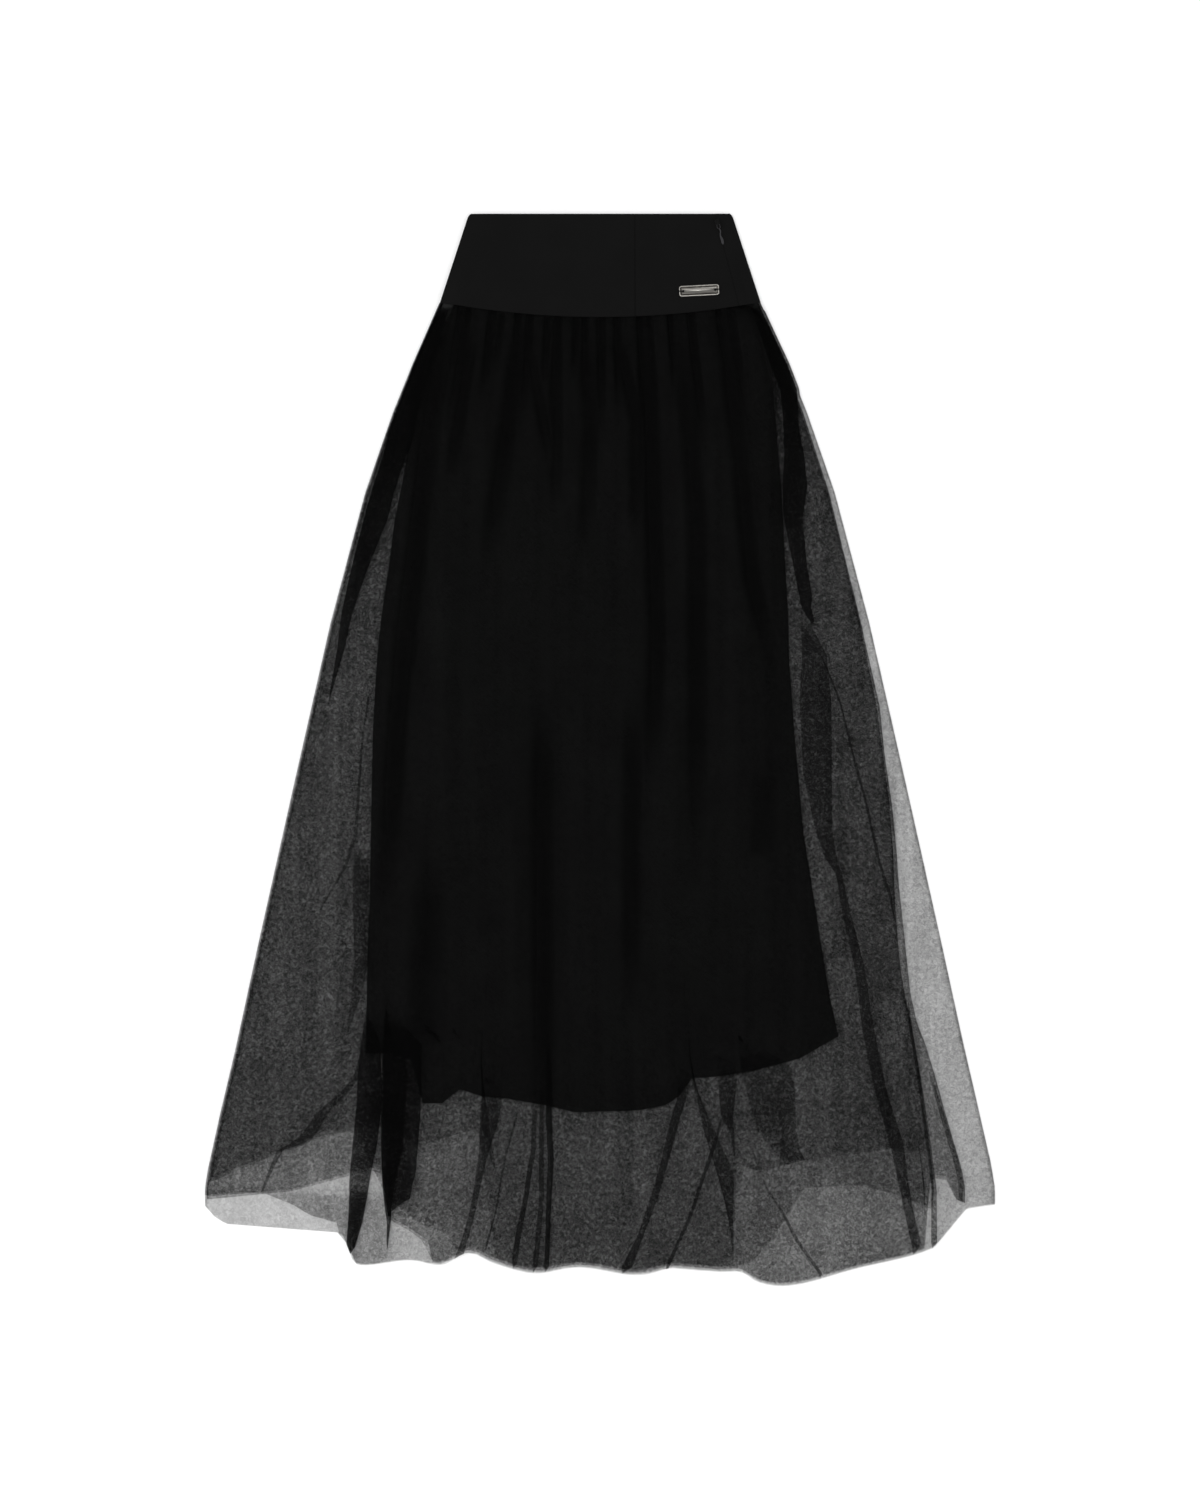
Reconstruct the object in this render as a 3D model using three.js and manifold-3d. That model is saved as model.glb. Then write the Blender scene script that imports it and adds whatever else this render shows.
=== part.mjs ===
// A full-length tulle skirt laid flat on its back: a fitted yoke with a concealed side zip and a small
// metal plate, three gathered tubes of soft net and an opaque lining inside them.
// Millimetres, +Z up. The skirt lies on z = 0 with its waist towards +Y and its front facing up.
// Places on the garment are given as across, from its middle line, and drop, down from the waist edge.
import * as THREE from "three";
import { mergeVertices } from "three/addons/utils/BufferGeometryUtils.js";
import Module from "manifold-3d";

const wasm = await Module();
wasm.setup();

// Driving dimensions of the yoke
const WAIST_HALF = 131;
const YOKE_HALF = 160;
const YOKE_SIDE_DROP = 89;
const YOKE_CENTRE_DROP = 104;
const YOKE_CORNER = { drop: 7, inset: 1 };
const YOKE_CLOTH = 1.6;
const YOKE_FRONT_SEAM = 35;
const ZIP_SEAM_TOP = 115;
const ZIP_SEAM_SLOPE = 0.26;

// Cloth walls and the room between them
const NET_CLOTH = 1;
const BACK_GAP = 0.3;
const FRONT_GAP = 0.55;
const SEAM_GAP = 0.3;
const TUCK_INSETS = [14, 14, 6, 0];

// How the cloth lies
const LINING_PUFF = 4.5;
const FOLD_HEIGHT = 4;
const GATHER_HEIGHT = 2.4;

// Outline of the outer net: half its width at each drop
const OUTER_OUTLINE = [
  { drop: 89, half: 160 },
  { drop: 116, half: 172 },
  { drop: 156, half: 189.5 },
  { drop: 236, half: 220.5 },
  { drop: 316, half: 245.5 },
  { drop: 396, half: 266 },
  { drop: 516, half: 293.5 },
  { drop: 676, half: 329.5 },
  { drop: 836, half: 364.5 },
  { drop: 1000, half: 397 },
  { drop: 1080, half: 399 },
];

// How far the side edges of the middle and inner net lie inside the outer one's
const SIDE_STEPS = [
  { drop: 89, leftMiddle: 4, leftInner: 8, rightMiddle: 4, rightInner: 8 },
  { drop: 150, leftMiddle: 8, leftInner: 16, rightMiddle: 8, rightInner: 16 },
  { drop: 300, leftMiddle: 12, leftInner: 24, rightMiddle: 12, rightInner: 24 },
  { drop: 519, leftMiddle: 12, leftInner: 24, rightMiddle: 15, rightInner: 29 },
  { drop: 606, leftMiddle: 12, leftInner: 24, rightMiddle: 28, rightInner: 42 },
  { drop: 694, leftMiddle: 12, leftInner: 24, rightMiddle: 35, rightInner: 49 },
  { drop: 816, leftMiddle: 12, leftInner: 24, rightMiddle: 40, rightInner: 56 },
  { drop: 888, leftMiddle: 12, leftInner: 24, rightMiddle: 35, rightInner: 60 },
  { drop: 1000, leftMiddle: 12, leftInner: 24, rightMiddle: 30, rightInner: 64 },
];

// Side edges of the lining
const LINING_OUTLINE = [
  { drop: 89, left: -144, right: 144 },
  { drop: 116, left: -152, right: 152 },
  { drop: 150, left: -164, right: 160 },
  { drop: 226, left: -186, right: 175 },
  { drop: 286, left: -198, right: 190 },
  { drop: 386, left: -208, right: 190 },
  { drop: 486, left: -220, right: 191 },
  { drop: 586, left: -227, right: 196 },
  { drop: 686, left: -234, right: 212 },
  { drop: 786, left: -243, right: 236 },
  { drop: 900, left: -246, right: 242 },
];

// Hems, each as drop at places across
const OUTER_FRONT_HEM = [
  { across: -398, drop: 980 },
  { across: -361, drop: 978 },
  { across: -336, drop: 979 },
  { across: -308, drop: 990 },
  { across: -262, drop: 1008 },
  { across: -250, drop: 1047 },
  { across: -238, drop: 1051 },
  { across: -190, drop: 1046 },
  { across: -160, drop: 1051 },
  { across: -131, drop: 1038 },
  { across: -106, drop: 1049 },
  { across: -64, drop: 1059 },
  { across: -22, drop: 1053 },
  { across: 38, drop: 1061 },
  { across: 74, drop: 1053 },
  { across: 110, drop: 1049 },
  { across: 132, drop: 1051 },
  { across: 158, drop: 1068 },
  { across: 180, drop: 1072 },
  { across: 254, drop: 1055 },
  { across: 346, drop: 1028 },
  { across: 358, drop: 999 },
  { across: 376, drop: 992 },
  { across: 398, drop: 990 },
];
const OUTER_BACK_HEM = [
  { across: -398, drop: 989 },
  { across: -382, drop: 1006 },
  { across: -358, drop: 1015 },
  { across: -346, drop: 1008 },
  { across: -298, drop: 1016 },
  { across: -262, drop: 1018 },
  { across: -200, drop: 1030 },
  { across: 0, drop: 1048 },
  { across: 180, drop: 1060 },
  { across: 330, drop: 1024 },
  { across: 358, drop: 992 },
  { across: 398, drop: 985 },
];
const MIDDLE_HEM = [
  { across: -389, drop: 968 },
  { across: -308, drop: 973 },
  { across: -230, drop: 962 },
  { across: -190, drop: 975 },
  { across: -160, drop: 1024 },
  { across: -100, drop: 1040 },
  { across: 0, drop: 1046 },
  { across: 118, drop: 1042 },
  { across: 150, drop: 1010 },
  { across: 189, drop: 984 },
  { across: 275, drop: 976 },
  { across: 368, drop: 972 },
];
const INNER_HEM = [
  { across: -381, drop: 956 },
  { across: -322, drop: 937 },
  { across: -280, drop: 918 },
  { across: -218, drop: 905 },
  { across: -170, drop: 926 },
  { across: -121, drop: 938 },
  { across: -60, drop: 1006 },
  { across: 0, drop: 1026 },
  { across: 60, drop: 1032 },
  { across: 118, drop: 1010 },
  { across: 150, drop: 968 },
  { across: 245, drop: 950 },
  { across: 335, drop: 950 },
];
const LINING_HEM = [
  { across: -246, drop: 838 },
  { across: -188, drop: 843 },
  { across: -174, drop: 880 },
  { across: -140, drop: 873 },
  { across: -120, drop: 883 },
  { across: -55, drop: 892 },
  { across: -10, drop: 898 },
  { across: 50, drop: 894 },
  { across: 72, drop: 885 },
  { across: 92, drop: 863 },
  { across: 116, drop: 861 },
  { across: 190, drop: 846 },
  { across: 242, drop: 826 },
];

// Long folds of the front: troughs that start under the yoke or on the way down, by three places each
const TROUGHS = [
  { x0: -151, d0: 112, x1: -177, d1: 266, x2: -203, d2: 535, depth: 4, width: 16 },
  { x0: -129, d0: 126, x1: -140, d1: 196, x2: -151, d2: 262, depth: 3, width: 12 },
  { x0: -74, d0: 120, x1: -86, d1: 200, x2: -111, d2: 335, depth: 4, width: 18 },
  { x0: -70, d0: 120, x1: -60, d1: 206, x2: -43, d2: 266, depth: 2.5, width: 11 },
  { x0: -41, d0: 120, x1: -43, d1: 192, x2: -41, d2: 255, depth: 3, width: 11 },
  { x0: -14, d0: 136, x1: -20, d1: 200, x2: -34, d2: 289, depth: 3.5, width: 16 },
  { x0: 17, d0: 120, x1: 23, d1: 177, x2: 37, d2: 289, depth: 3.5, width: 14 },
  { x0: 46, d0: 130, x1: 51, d1: 216, x2: 54, d2: 449, depth: 4, width: 16 },
  { x0: 74, d0: 140, x1: 89, d1: 206, x2: 97, d2: 535, depth: 3.5, width: 16 },
  { x0: 100, d0: 120, x1: 137, d1: 277, x2: 174, d2: 472, depth: 4, width: 16 },
  { x0: 120, d0: 120, x1: 131, d1: 180, x2: 154, d2: 230, depth: 2.5, width: 11 },
  { x0: -59, d0: 476, x1: -58, d1: 686, x2: -91, d2: 879, depth: 4, width: 20 },
  { x0: 55, d0: 449, x1: 37, d1: 611, x2: 26, d2: 772, depth: 3.5, width: 20 },
  { x0: 98, d0: 522, x1: 98, d1: 586, x2: 96, d2: 666, depth: 2.5, width: 16 },
  { x0: -199, d0: 507, x1: -209, d1: 593, x2: -228, d2: 700, depth: 3, width: 16 },
  { x0: 137, d0: 657, x1: 140, d1: 746, x2: 142, d2: 826, depth: 2, width: 12 },
];

// Folds of the net that lie doubled on themselves beside and below the lining: low ridges
const RIDGES = [
  { x0: -199, d0: 222, x1: -230, d1: 326, x2: -262, d2: 434, height: 2, width: 22 },
  { x0: -236, d0: 793, x1: -285, d1: 906, x2: -340, d2: 990, height: 1.8, width: 14 },
  { x0: -232, d0: 850, x1: -243, d1: 950, x2: -250, d2: 1040, height: 2, width: 24 },
  { x0: -196, d0: 850, x1: -200, d1: 930, x2: -212, d2: 1030, height: 2, width: 26 },
  { x0: -110, d0: 880, x1: -123, d1: 960, x2: -140, d2: 1044, height: 2, width: 16 },
  { x0: -54, d0: 885, x1: -60, d1: 970, x2: -64, d2: 1057, height: 2.2, width: 18 },
  { x0: 78, d0: 885, x1: 57, d1: 960, x2: 23, d2: 1051, height: 2, width: 14 },
  { x0: 121, d0: 880, x1: 104, d1: 966, x2: 69, d2: 1053, height: 1.6, width: 12 },
  { x0: 206, d0: 290, x1: 222, d1: 422, x2: 269, d2: 600, height: 1.6, width: 14 },
  { x0: 239, d0: 640, x1: 270, d1: 799, x2: 314, d2: 1000, height: 2.2, width: 20 },
  { x0: 288, d0: 640, x1: 318, d1: 860, x2: 334, d2: 1025, height: 2, width: 16 },
  { x0: 150, d0: 890, x1: 182, d1: 960, x2: 220, d2: 1060, height: 1.5, width: 14 },
];

// Gathers of the outer net at the yoke seam: valleys that fan out with the net and die away
const GATHERS = [
  { across: -150, reach: 90, depth: 2.2 },
  { across: -139, reach: 60, depth: 1.8 },
  { across: -132, reach: 110, depth: 2.2 },
  { across: -107, reach: 130, depth: 2.4 },
  { across: -98, reach: 80, depth: 1.8 },
  { across: -81, reach: 120, depth: 2.4 },
  { across: -70, reach: 90, depth: 2 },
  { across: -52, reach: 110, depth: 2.2 },
  { across: -42, reach: 130, depth: 2.4 },
  { across: -24, reach: 70, depth: 1.8 },
  { across: -15, reach: 150, depth: 2.4 },
  { across: 1, reach: 90, depth: 2 },
  { across: 17, reach: 130, depth: 2.4 },
  { across: 40, reach: 80, depth: 2 },
  { across: 49, reach: 150, depth: 2.4 },
  { across: 70, reach: 130, depth: 2.2 },
  { across: 90, reach: 90, depth: 2 },
  { across: 118, reach: 120, depth: 2.2 },
  { across: 130, reach: 90, depth: 2 },
];

// The plate: size, place, and its two sewing holes
const PLATE = { across: 99, drop: 77.5, length: 40, width: 11, thick: 1.4, corner: 2.6, turn: 6 };
const PLATE_HOLE_RADIUS = 1.2;
const PLATE_HOLE_SPACING = 32;
const PLATE_FIELD_DEPTH = 0.3;
const PLATE_RIM = 1.1;

// The zip
const SLIDER = { drop: 10, length: 9, width: 5, thick: 1.4 };
const SLIDER_ARCH = { back: 2.6, thick: 0.9, width: 1.6, clear: 1.6 };
const PULL = { length: 21, width: 4.4, neck: 3.6, thick: 0.9, eye: 4.3, slot: 2.4 };
const PULL_AXIS_BACK = -0.9;
const PULL_DROOP = 3.5;

const CLOTH_BLACK = { color: 0x131416, roughness: 0.95, metalness: 0 };
const LINING_BLACK = { color: 0x0d0e10, roughness: 0.7, metalness: 0 };
const NET_BLACK = { color: 0x1a1b1e, roughness: 0.8, metalness: 0 };
const ANTIQUE_METAL = { color: 0x8d8880, roughness: 0.35, metalness: 1 };
const ZIP_METAL = { color: 0x55565a, roughness: 0.4, metalness: 0.9 };

function clamp(value, low, high) {
  return Math.min(high, Math.max(low, value));
}

function smooth(value) {
  const t = clamp(value, 0, 1);
  return t * t * (3 - 2 * t);
}

// The slope of a table at one of its rows, which is 0 at a peak so that the curve never overshoots a row
function slopeAt(table, key, column, row) {
  const last = table.length - 1;
  const step = (i) => (table[i + 1][column] - table[i][column]) / (table[i + 1][key] - table[i][key]);
  if (row === 0) return step(0);
  if (row === last) return step(last - 1);
  const before = step(row - 1);
  const after = step(row);
  return before * after <= 0 ? 0 : (2 * before * after) / (before + after);
}

// The value of a column of a table at a place along its key column, on one smooth curve through the rows
function along(table, key, column, at) {
  const spot = clamp(at, table[0][key], table[table.length - 1][key]);
  let row = 0;
  while (row < table.length - 2 && table[row + 1][key] < spot) row += 1;
  const [a, b] = [table[row], table[row + 1]];
  const span = b[key] - a[key];
  const t = (spot - a[key]) / span;
  const rise = b[column] - a[column];
  const into = slopeAt(table, key, column, row) * span;
  const out = slopeAt(table, key, column, row + 1) * span;
  return a[column] + t * into + t * t * (3 * rise - 2 * into - out) + t * t * t * (into + out - 2 * rise);
}

function seamDrop(across) {
  const share = clamp(Math.abs(across) / YOKE_HALF, 0, 1);
  return YOKE_SIDE_DROP + (YOKE_CENTRE_DROP - YOKE_SIDE_DROP) * (1 - share * share);
}

function outerHalf(drop) {
  return along(OUTER_OUTLINE, "drop", "half", drop);
}

// The four tubes from the outermost in: level counts inwards
const TUBES = [
  {
    level: 0,
    left: (drop) => -outerHalf(drop),
    right: (drop) => outerHalf(drop),
    hem: OUTER_FRONT_HEM,
  },
  {
    level: 1,
    left: (drop) => -outerHalf(drop) + along(SIDE_STEPS, "drop", "leftMiddle", drop),
    right: (drop) => outerHalf(drop) - along(SIDE_STEPS, "drop", "rightMiddle", drop),
    hem: MIDDLE_HEM,
  },
  {
    level: 2,
    left: (drop) => -outerHalf(drop) + along(SIDE_STEPS, "drop", "leftInner", drop),
    right: (drop) => outerHalf(drop) - along(SIDE_STEPS, "drop", "rightInner", drop),
    hem: INNER_HEM,
  },
  {
    level: 3,
    left: (drop) => along(LINING_OUTLINE, "drop", "left", drop),
    right: (drop) => along(LINING_OUTLINE, "drop", "right", drop),
    hem: LINING_HEM,
  },
];
const [OUTER, MIDDLE, INNER, LINING] = TUBES;

function hemAt(hem, across) {
  return along(hem, "across", "drop", across);
}

// All layers share one lattice of places, so that each lies evenly on the one below. Its columns run between
// the side edges of the tubes: cells counts them there, and splits parts each again on the outer front.
const COLUMNS = [
  { cells: 1, splits: 1 },
  { cells: 1, splits: 1 },
  { cells: 4, splits: 2 },
  { cells: 16, splits: 4 },
  { cells: 4, splits: 2 },
  { cells: 1, splits: 1 },
  { cells: 1, splits: 1 },
];
const COLUMN_STARTS = [0];
COLUMNS.forEach(({ cells }, i) => COLUMN_STARTS.push(COLUMN_STARTS[i] + cells));

// Its rows lie at these drops below the yoke seam, the first inside the yoke, and then at the tubes' hems
const SEAM_ROWS = [-8, 0, 7, 15, 32, 60, 110, 190, 320, 480, 640];
const TUCKED_ROWS = 2;
const LINING_HEM_ROW = SEAM_ROWS.length;
const HEM_ROWS = [LINING_HEM_ROW + 4, LINING_HEM_ROW + 3, LINING_HEM_ROW + 2, LINING_HEM_ROW];
const LAST_ROW = HEM_ROWS[0];

function rowDrop(row, across, outerHem) {
  if (row < SEAM_ROWS.length) return seamDrop(across) + SEAM_ROWS[row];
  if (row === LAST_ROW) return hemAt(outerHem, across);
  const level = HEM_ROWS.indexOf(row);
  if (level > 0) return hemAt(TUBES[level].hem, across);
  return (hemAt(LINING.hem, across) + hemAt(INNER.hem, across)) / 2;
}

// Where the side edges of all tubes are in a row: inside the yoke they are drawn in, clear of its side folds
function edgesOf(row, outerHem) {
  const inset = TUCK_INSETS[Math.min(row, TUCK_INSETS.length - 1)];
  const lefts = TUBES.map((tube) => (drop) => tube.left(drop) + inset);
  const rights = TUBES.map((tube) => (drop) => tube.right(drop) - inset).reverse();
  return [...lefts, ...rights].map((side) => {
    let across = side(YOKE_SIDE_DROP);
    for (let pass = 0; pass < 8; pass += 1) across = side(rowDrop(row, across, outerHem));
    return across;
  });
}

// The place of a lattice point. Points between two columns lie on the straight line between them, but for the
// outer hem, which follows its own curve.
function latticePlace(row, column, outerHem) {
  const whole = Math.floor(column);
  if (whole < column && row < LAST_ROW) {
    const [a, b] = [whole, whole + 1].map((c) => latticePlace(row, c, outerHem));
    const share = column - whole;
    return {
      across: THREE.MathUtils.lerp(a.across, b.across, share),
      drop: THREE.MathUtils.lerp(a.drop, b.drop, share),
    };
  }
  const edges = edgesOf(row, outerHem);
  const stretch = Math.max(0, COLUMN_STARTS.findIndex((start) => start >= column) - 1);
  const share = (column - COLUMN_STARTS[stretch]) / COLUMNS[stretch].cells;
  const across = THREE.MathUtils.lerp(edges[stretch], edges[stretch + 1], share);
  return { across, drop: rowDrop(row, across, outerHem) };
}

// 1 where a tube's walls lie under a lattice point, and less on the way down past its side edges and its hem
function coverage(tube, row, column) {
  const first = COLUMN_STARTS[tube.level];
  const last = COLUMN_STARTS[COLUMN_STARTS.length - 1 - tube.level];
  const past = Math.max(first - column, column - last, 0) / COLUMNS[tube.level - 1].cells;
  const hemRow = HEM_ROWS[tube.level];
  const below = (row - hemRow) / (HEM_ROWS[tube.level - 1] - hemRow);
  return clamp(1 - past, 0, 1) * clamp(1 - below, 0, 1);
}

// The back cloth of the yoke lies under the tucked edges, and the layers come down to the floor past it
const YOKE_LIFTS = [1, 1, 0.5, 0];
function yokeLift(row) {
  return (YOKE_CLOTH + BACK_GAP) * YOKE_LIFTS[Math.min(row, YOKE_LIFTS.length - 1)];
}

// How far inside a tube's side edges a place is, less than 0 outside
function insideSides(tube, across, drop) {
  return Math.min(across - tube.left(drop), tube.right(drop) - across);
}

// How far the lining and all on it stand off the layers below, in the large
const PUFF_REACH = { side: 45, top: 90, foot: 90 };
function puff(across, drop) {
  const side = smooth(insideSides(LINING, across, drop) / PUFF_REACH.side);
  const top = smooth((drop - seamDrop(across)) / PUFF_REACH.top);
  const foot = smooth((hemAt(LINING.hem, across) - drop) / PUFF_REACH.foot);
  return LINING_PUFF * side * top * foot;
}

// Share of a fold's full depth at a place: its line runs through three places, and it fades at both ends
function foldShare(fold, across, drop) {
  const length = fold.d2 - fold.d0;
  const t = (drop - fold.d0) / length;
  if (t < -0.1 || t > 1.15) return 0;
  const bend = clamp(t, 0, 1);
  const middle = (fold.d1 - fold.d0) / length;
  const line =
    bend < middle
      ? THREE.MathUtils.lerp(fold.x0, fold.x1, bend / middle)
      : THREE.MathUtils.lerp(fold.x1, fold.x2, (bend - middle) / (1 - middle));
  const ends = smooth((t + 0.1) / 0.2) * (1 - smooth((t - 0.8) / 0.35));
  const off = Math.abs(across - line) / fold.width;
  return off < 1 ? ends * (0.5 + 0.5 * Math.cos(Math.PI * off)) : 0;
}

// Broad hollows of the hidden layers follow the same folds, wider and shallower
const HOLLOW_DEPTH = 0.4;
const HOLLOW_WIDTH = 3;
function hollow(across, drop) {
  const depths = TROUGHS.map((fold) => {
    const share = foldShare({ ...fold, width: HOLLOW_WIDTH * fold.width }, across, drop);
    return HOLLOW_DEPTH * fold.depth * share;
  });
  return Math.max(0, ...depths);
}

// Height of the gathered net just below the seam: full between the valleys, and gone further down
const GATHER_REACH = { rise: 9, full: 20, decay: 100 };
const VALLEY_WIDTH = 5;
const VALLEY_SPREAD = 0.05;
function gathers(across, drop) {
  const below = Math.max(0, drop - seamDrop(across));
  const decay = Math.exp(-Math.max(0, below - GATHER_REACH.full) / GATHER_REACH.decay);
  const full = GATHER_HEIGHT * smooth(below / GATHER_REACH.rise) * decay;
  const spread = outerHalf(drop) / YOKE_HALF;
  const valleys = GATHERS.map((gather) => {
    const width = VALLEY_WIDTH + VALLEY_SPREAD * below;
    const off = Math.abs(across - gather.across * spread) / width;
    const fade = 1 - smooth(below / gather.reach);
    return off < 1 ? gather.depth * fade * (0.5 + 0.5 * Math.cos(Math.PI * off)) : 0;
  });
  return Math.max(0, full - Math.max(...valleys));
}

// The outer net's own relief above the layers inside it
const RELIEF_REACH = { edge: 14, side: 30, top: 50, foot: 60 };
function outerRelief(across, drop) {
  const edge = smooth(insideSides(OUTER, across, drop) / RELIEF_REACH.edge);
  const lined = smooth(insideSides(LINING, across, drop) / RELIEF_REACH.side);
  const started = smooth((drop - seamDrop(across)) / RELIEF_REACH.top);
  const foot = 1 - smooth((drop - hemAt(LINING.hem, across)) / RELIEF_REACH.foot);
  const troughs = TROUGHS.map((fold) => fold.depth * foldShare(fold, across, drop));
  const ridges = RIDGES.map((fold) => fold.height * foldShare(fold, across, drop));
  const folds = Math.max(0, FOLD_HEIGHT - Math.max(...troughs)) * lined * started * foot;
  return edge * (folds + Math.max(0, ...ridges) + gathers(across, drop));
}

// Mid height of a tube's back wall
function backHeight(tube, row) {
  return NET_CLOTH / 2 + tube.level * (NET_CLOTH + BACK_GAP) + yokeLift(row);
}

// Mid height of a tube's front wall: its own back, then both walls of every tube inside it. The inner layers
// sink further into the hollows than the outer ones.
const HOLLOW_SHARES = [0, 0.55, 0.75, 1];
function frontHeight(tube, row, column, outerHem) {
  const whole = Math.floor(column);
  if (whole < column) {
    const [a, b] = [whole, whole + 1].map((c) => frontHeight(tube, row, c, outerHem));
    return THREE.MathUtils.lerp(a, b, column - whole);
  }
  const inside = TUBES.filter((other) => other.level > tube.level);
  const covered = inside.reduce((sum, other) => sum + coverage(other, row, column), 0);
  const stack = (covered + 1) * (NET_CLOTH + BACK_GAP) + covered * (NET_CLOTH + FRONT_GAP);
  const { across, drop } = latticePlace(row, column, outerHem);
  const sunk = (HOLLOW_SHARES[tube.level] * hollow(across, drop)) / LINING_PUFF;
  return backHeight(tube, row) + stack + puff(across, drop) * (1 - sunk);
}

function place(across, drop, height) {
  return new THREE.Vector3(across, -drop, height);
}

// A closed wall of cloth round a grid of middle points, rows down and columns to the right, thickened evenly
// to both sides along its own normals
function clothWall(grid, thickness) {
  const rows = grid.length;
  const columns = grid[0].length;
  const normalAt = (r, c) => {
    const right = grid[r][Math.min(c + 1, columns - 1)].clone().sub(grid[r][Math.max(c - 1, 0)]);
    const down = grid[Math.min(r + 1, rows - 1)][c].clone().sub(grid[Math.max(r - 1, 0)][c]);
    return down.cross(right).normalize();
  };
  const positions = [];
  for (const side of [0.5, -0.5]) {
    grid.forEach((line, r) =>
      line.forEach((point, c) => {
        const moved = point.clone().addScaledVector(normalAt(r, c), side * thickness);
        positions.push(moved.x, moved.y, moved.z);
      }),
    );
  }
  const upper = (r, c) => r * columns + c;
  const lower = (r, c) => rows * columns + upper(r, c);
  const faces = [];
  const quad = (a, b, c, d) => faces.push(a, b, c, a, c, d);
  for (let r = 0; r < rows - 1; r += 1) {
    for (let c = 0; c < columns - 1; c += 1) {
      quad(upper(r, c), upper(r + 1, c), upper(r + 1, c + 1), upper(r, c + 1));
      quad(lower(r, c), lower(r, c + 1), lower(r + 1, c + 1), lower(r + 1, c));
    }
    quad(upper(r, 0), lower(r, 0), lower(r + 1, 0), upper(r + 1, 0));
    quad(upper(r + 1, columns - 1), lower(r + 1, columns - 1), lower(r, columns - 1), upper(r, columns - 1));
  }
  for (let c = 0; c < columns - 1; c += 1) {
    quad(upper(0, c + 1), lower(0, c + 1), lower(0, c), upper(0, c));
    quad(upper(rows - 1, c), lower(rows - 1, c), lower(rows - 1, c + 1), upper(rows - 1, c + 1));
  }
  const geometry = new THREE.BufferGeometry();
  geometry.setAttribute("position", new THREE.Float32BufferAttribute(positions, 3));
  geometry.setIndex(faces);
  geometry.computeVertexNormals();
  return geometry;
}

// A tube's front or back as a wall over its share of the lattice
function panel(tube, columns, heightOf, outerHem = OUTER_FRONT_HEM, hemRise = 0) {
  const last = COLUMN_STARTS[COLUMN_STARTS.length - 1 - tube.level];
  const own = columns.filter((column) => column >= COLUMN_STARTS[tube.level] && column <= last);
  const grid = [];
  for (let row = 0; row <= HEM_ROWS[tube.level]; row += 1) {
    grid.push(
      own.map((column) => {
        const { across, drop } = latticePlace(row, column, outerHem);
        const rise = row === HEM_ROWS[tube.level] ? hemRise : 0;
        return place(across, drop - rise, heightOf(tube, row, column, across, drop));
      }),
    );
  }
  return clothWall(grid, NET_CLOTH);
}

// The hems of the hidden backs end a little above the front ones
const BACK_HEM_RISE = 7;
function backPanel(tube, outerHem) {
  const [, , , liningLeft, liningRight] = COLUMN_STARTS;
  const between = [0.25, 0.5, 0.75].map((share) => THREE.MathUtils.lerp(liningLeft, liningRight, share));
  const columns = [...COLUMN_STARTS, ...between].sort((a, b) => a - b);
  const hemRise = tube === OUTER ? 0 : BACK_HEM_RISE;
  return panel(tube, columns, (own, row) => backHeight(own, row), outerHem, hemRise);
}

function frontPanel(tube) {
  const last = COLUMN_STARTS[COLUMN_STARTS.length - 1];
  const columns = Array.from({ length: last + 1 }, (_, i) => i);
  return panel(tube, columns, (own, row, column) => frontHeight(own, row, column, OUTER_FRONT_HEM));
}

// The outer front has the finest columns, for its gathers and folds
function outerFrontPanel() {
  const columns = COLUMNS.flatMap(({ cells, splits }, i) =>
    Array.from({ length: cells * splits }, (_, k) => COLUMN_STARTS[i] + k / splits),
  );
  columns.push(COLUMN_STARTS[COLUMN_STARTS.length - 1]);
  const heightOf = (tube, row, column, across, drop) => {
    const relief = row < TUCKED_ROWS ? 0 : outerRelief(across, drop);
    return frontHeight(tube, row, column, OUTER_FRONT_HEM) + relief;
  };
  return panel(OUTER, columns, heightOf);
}

// The yoke

function yokeHalf(drop) {
  const straight = WAIST_HALF + ((YOKE_HALF - WAIST_HALF) * drop) / YOKE_SIDE_DROP;
  const corner = clamp(1 - drop / YOKE_CORNER.drop, 0, 1);
  return straight - YOKE_CORNER.inset * (1 - Math.sqrt(1 - corner * corner));
}

// Mid height of the yoke's front: low at the waist, lifted by the gathered edges at the seam, down at both sides
const YOKE_WAIST_HEIGHT = 4.8;
const YOKE_EDGE_HEIGHT = 3;
const YOKE_SEAM_HEIGHT = 13.9;
const YOKE_LIFT_START = 34;
function yokeHeight(across, drop) {
  const lifted = smooth((drop - YOKE_LIFT_START) / (seamDrop(across) - 12 - YOKE_LIFT_START));
  const top = THREE.MathUtils.lerp(YOKE_WAIST_HEIGHT, YOKE_SEAM_HEIGHT, lifted);
  const edge = smooth((yokeHalf(drop) - Math.abs(across)) / 14);
  return THREE.MathUtils.lerp(YOKE_EDGE_HEIGHT, top, edge);
}

function zipSeam(drop) {
  return ZIP_SEAM_TOP + ZIP_SEAM_SLOPE * drop;
}

const YOKE_ROWS = [0, 0.03, 0.08, 0.2, 0.34, 0.46, 0.58, 0.7, 0.82, 0.92, 1];

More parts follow.
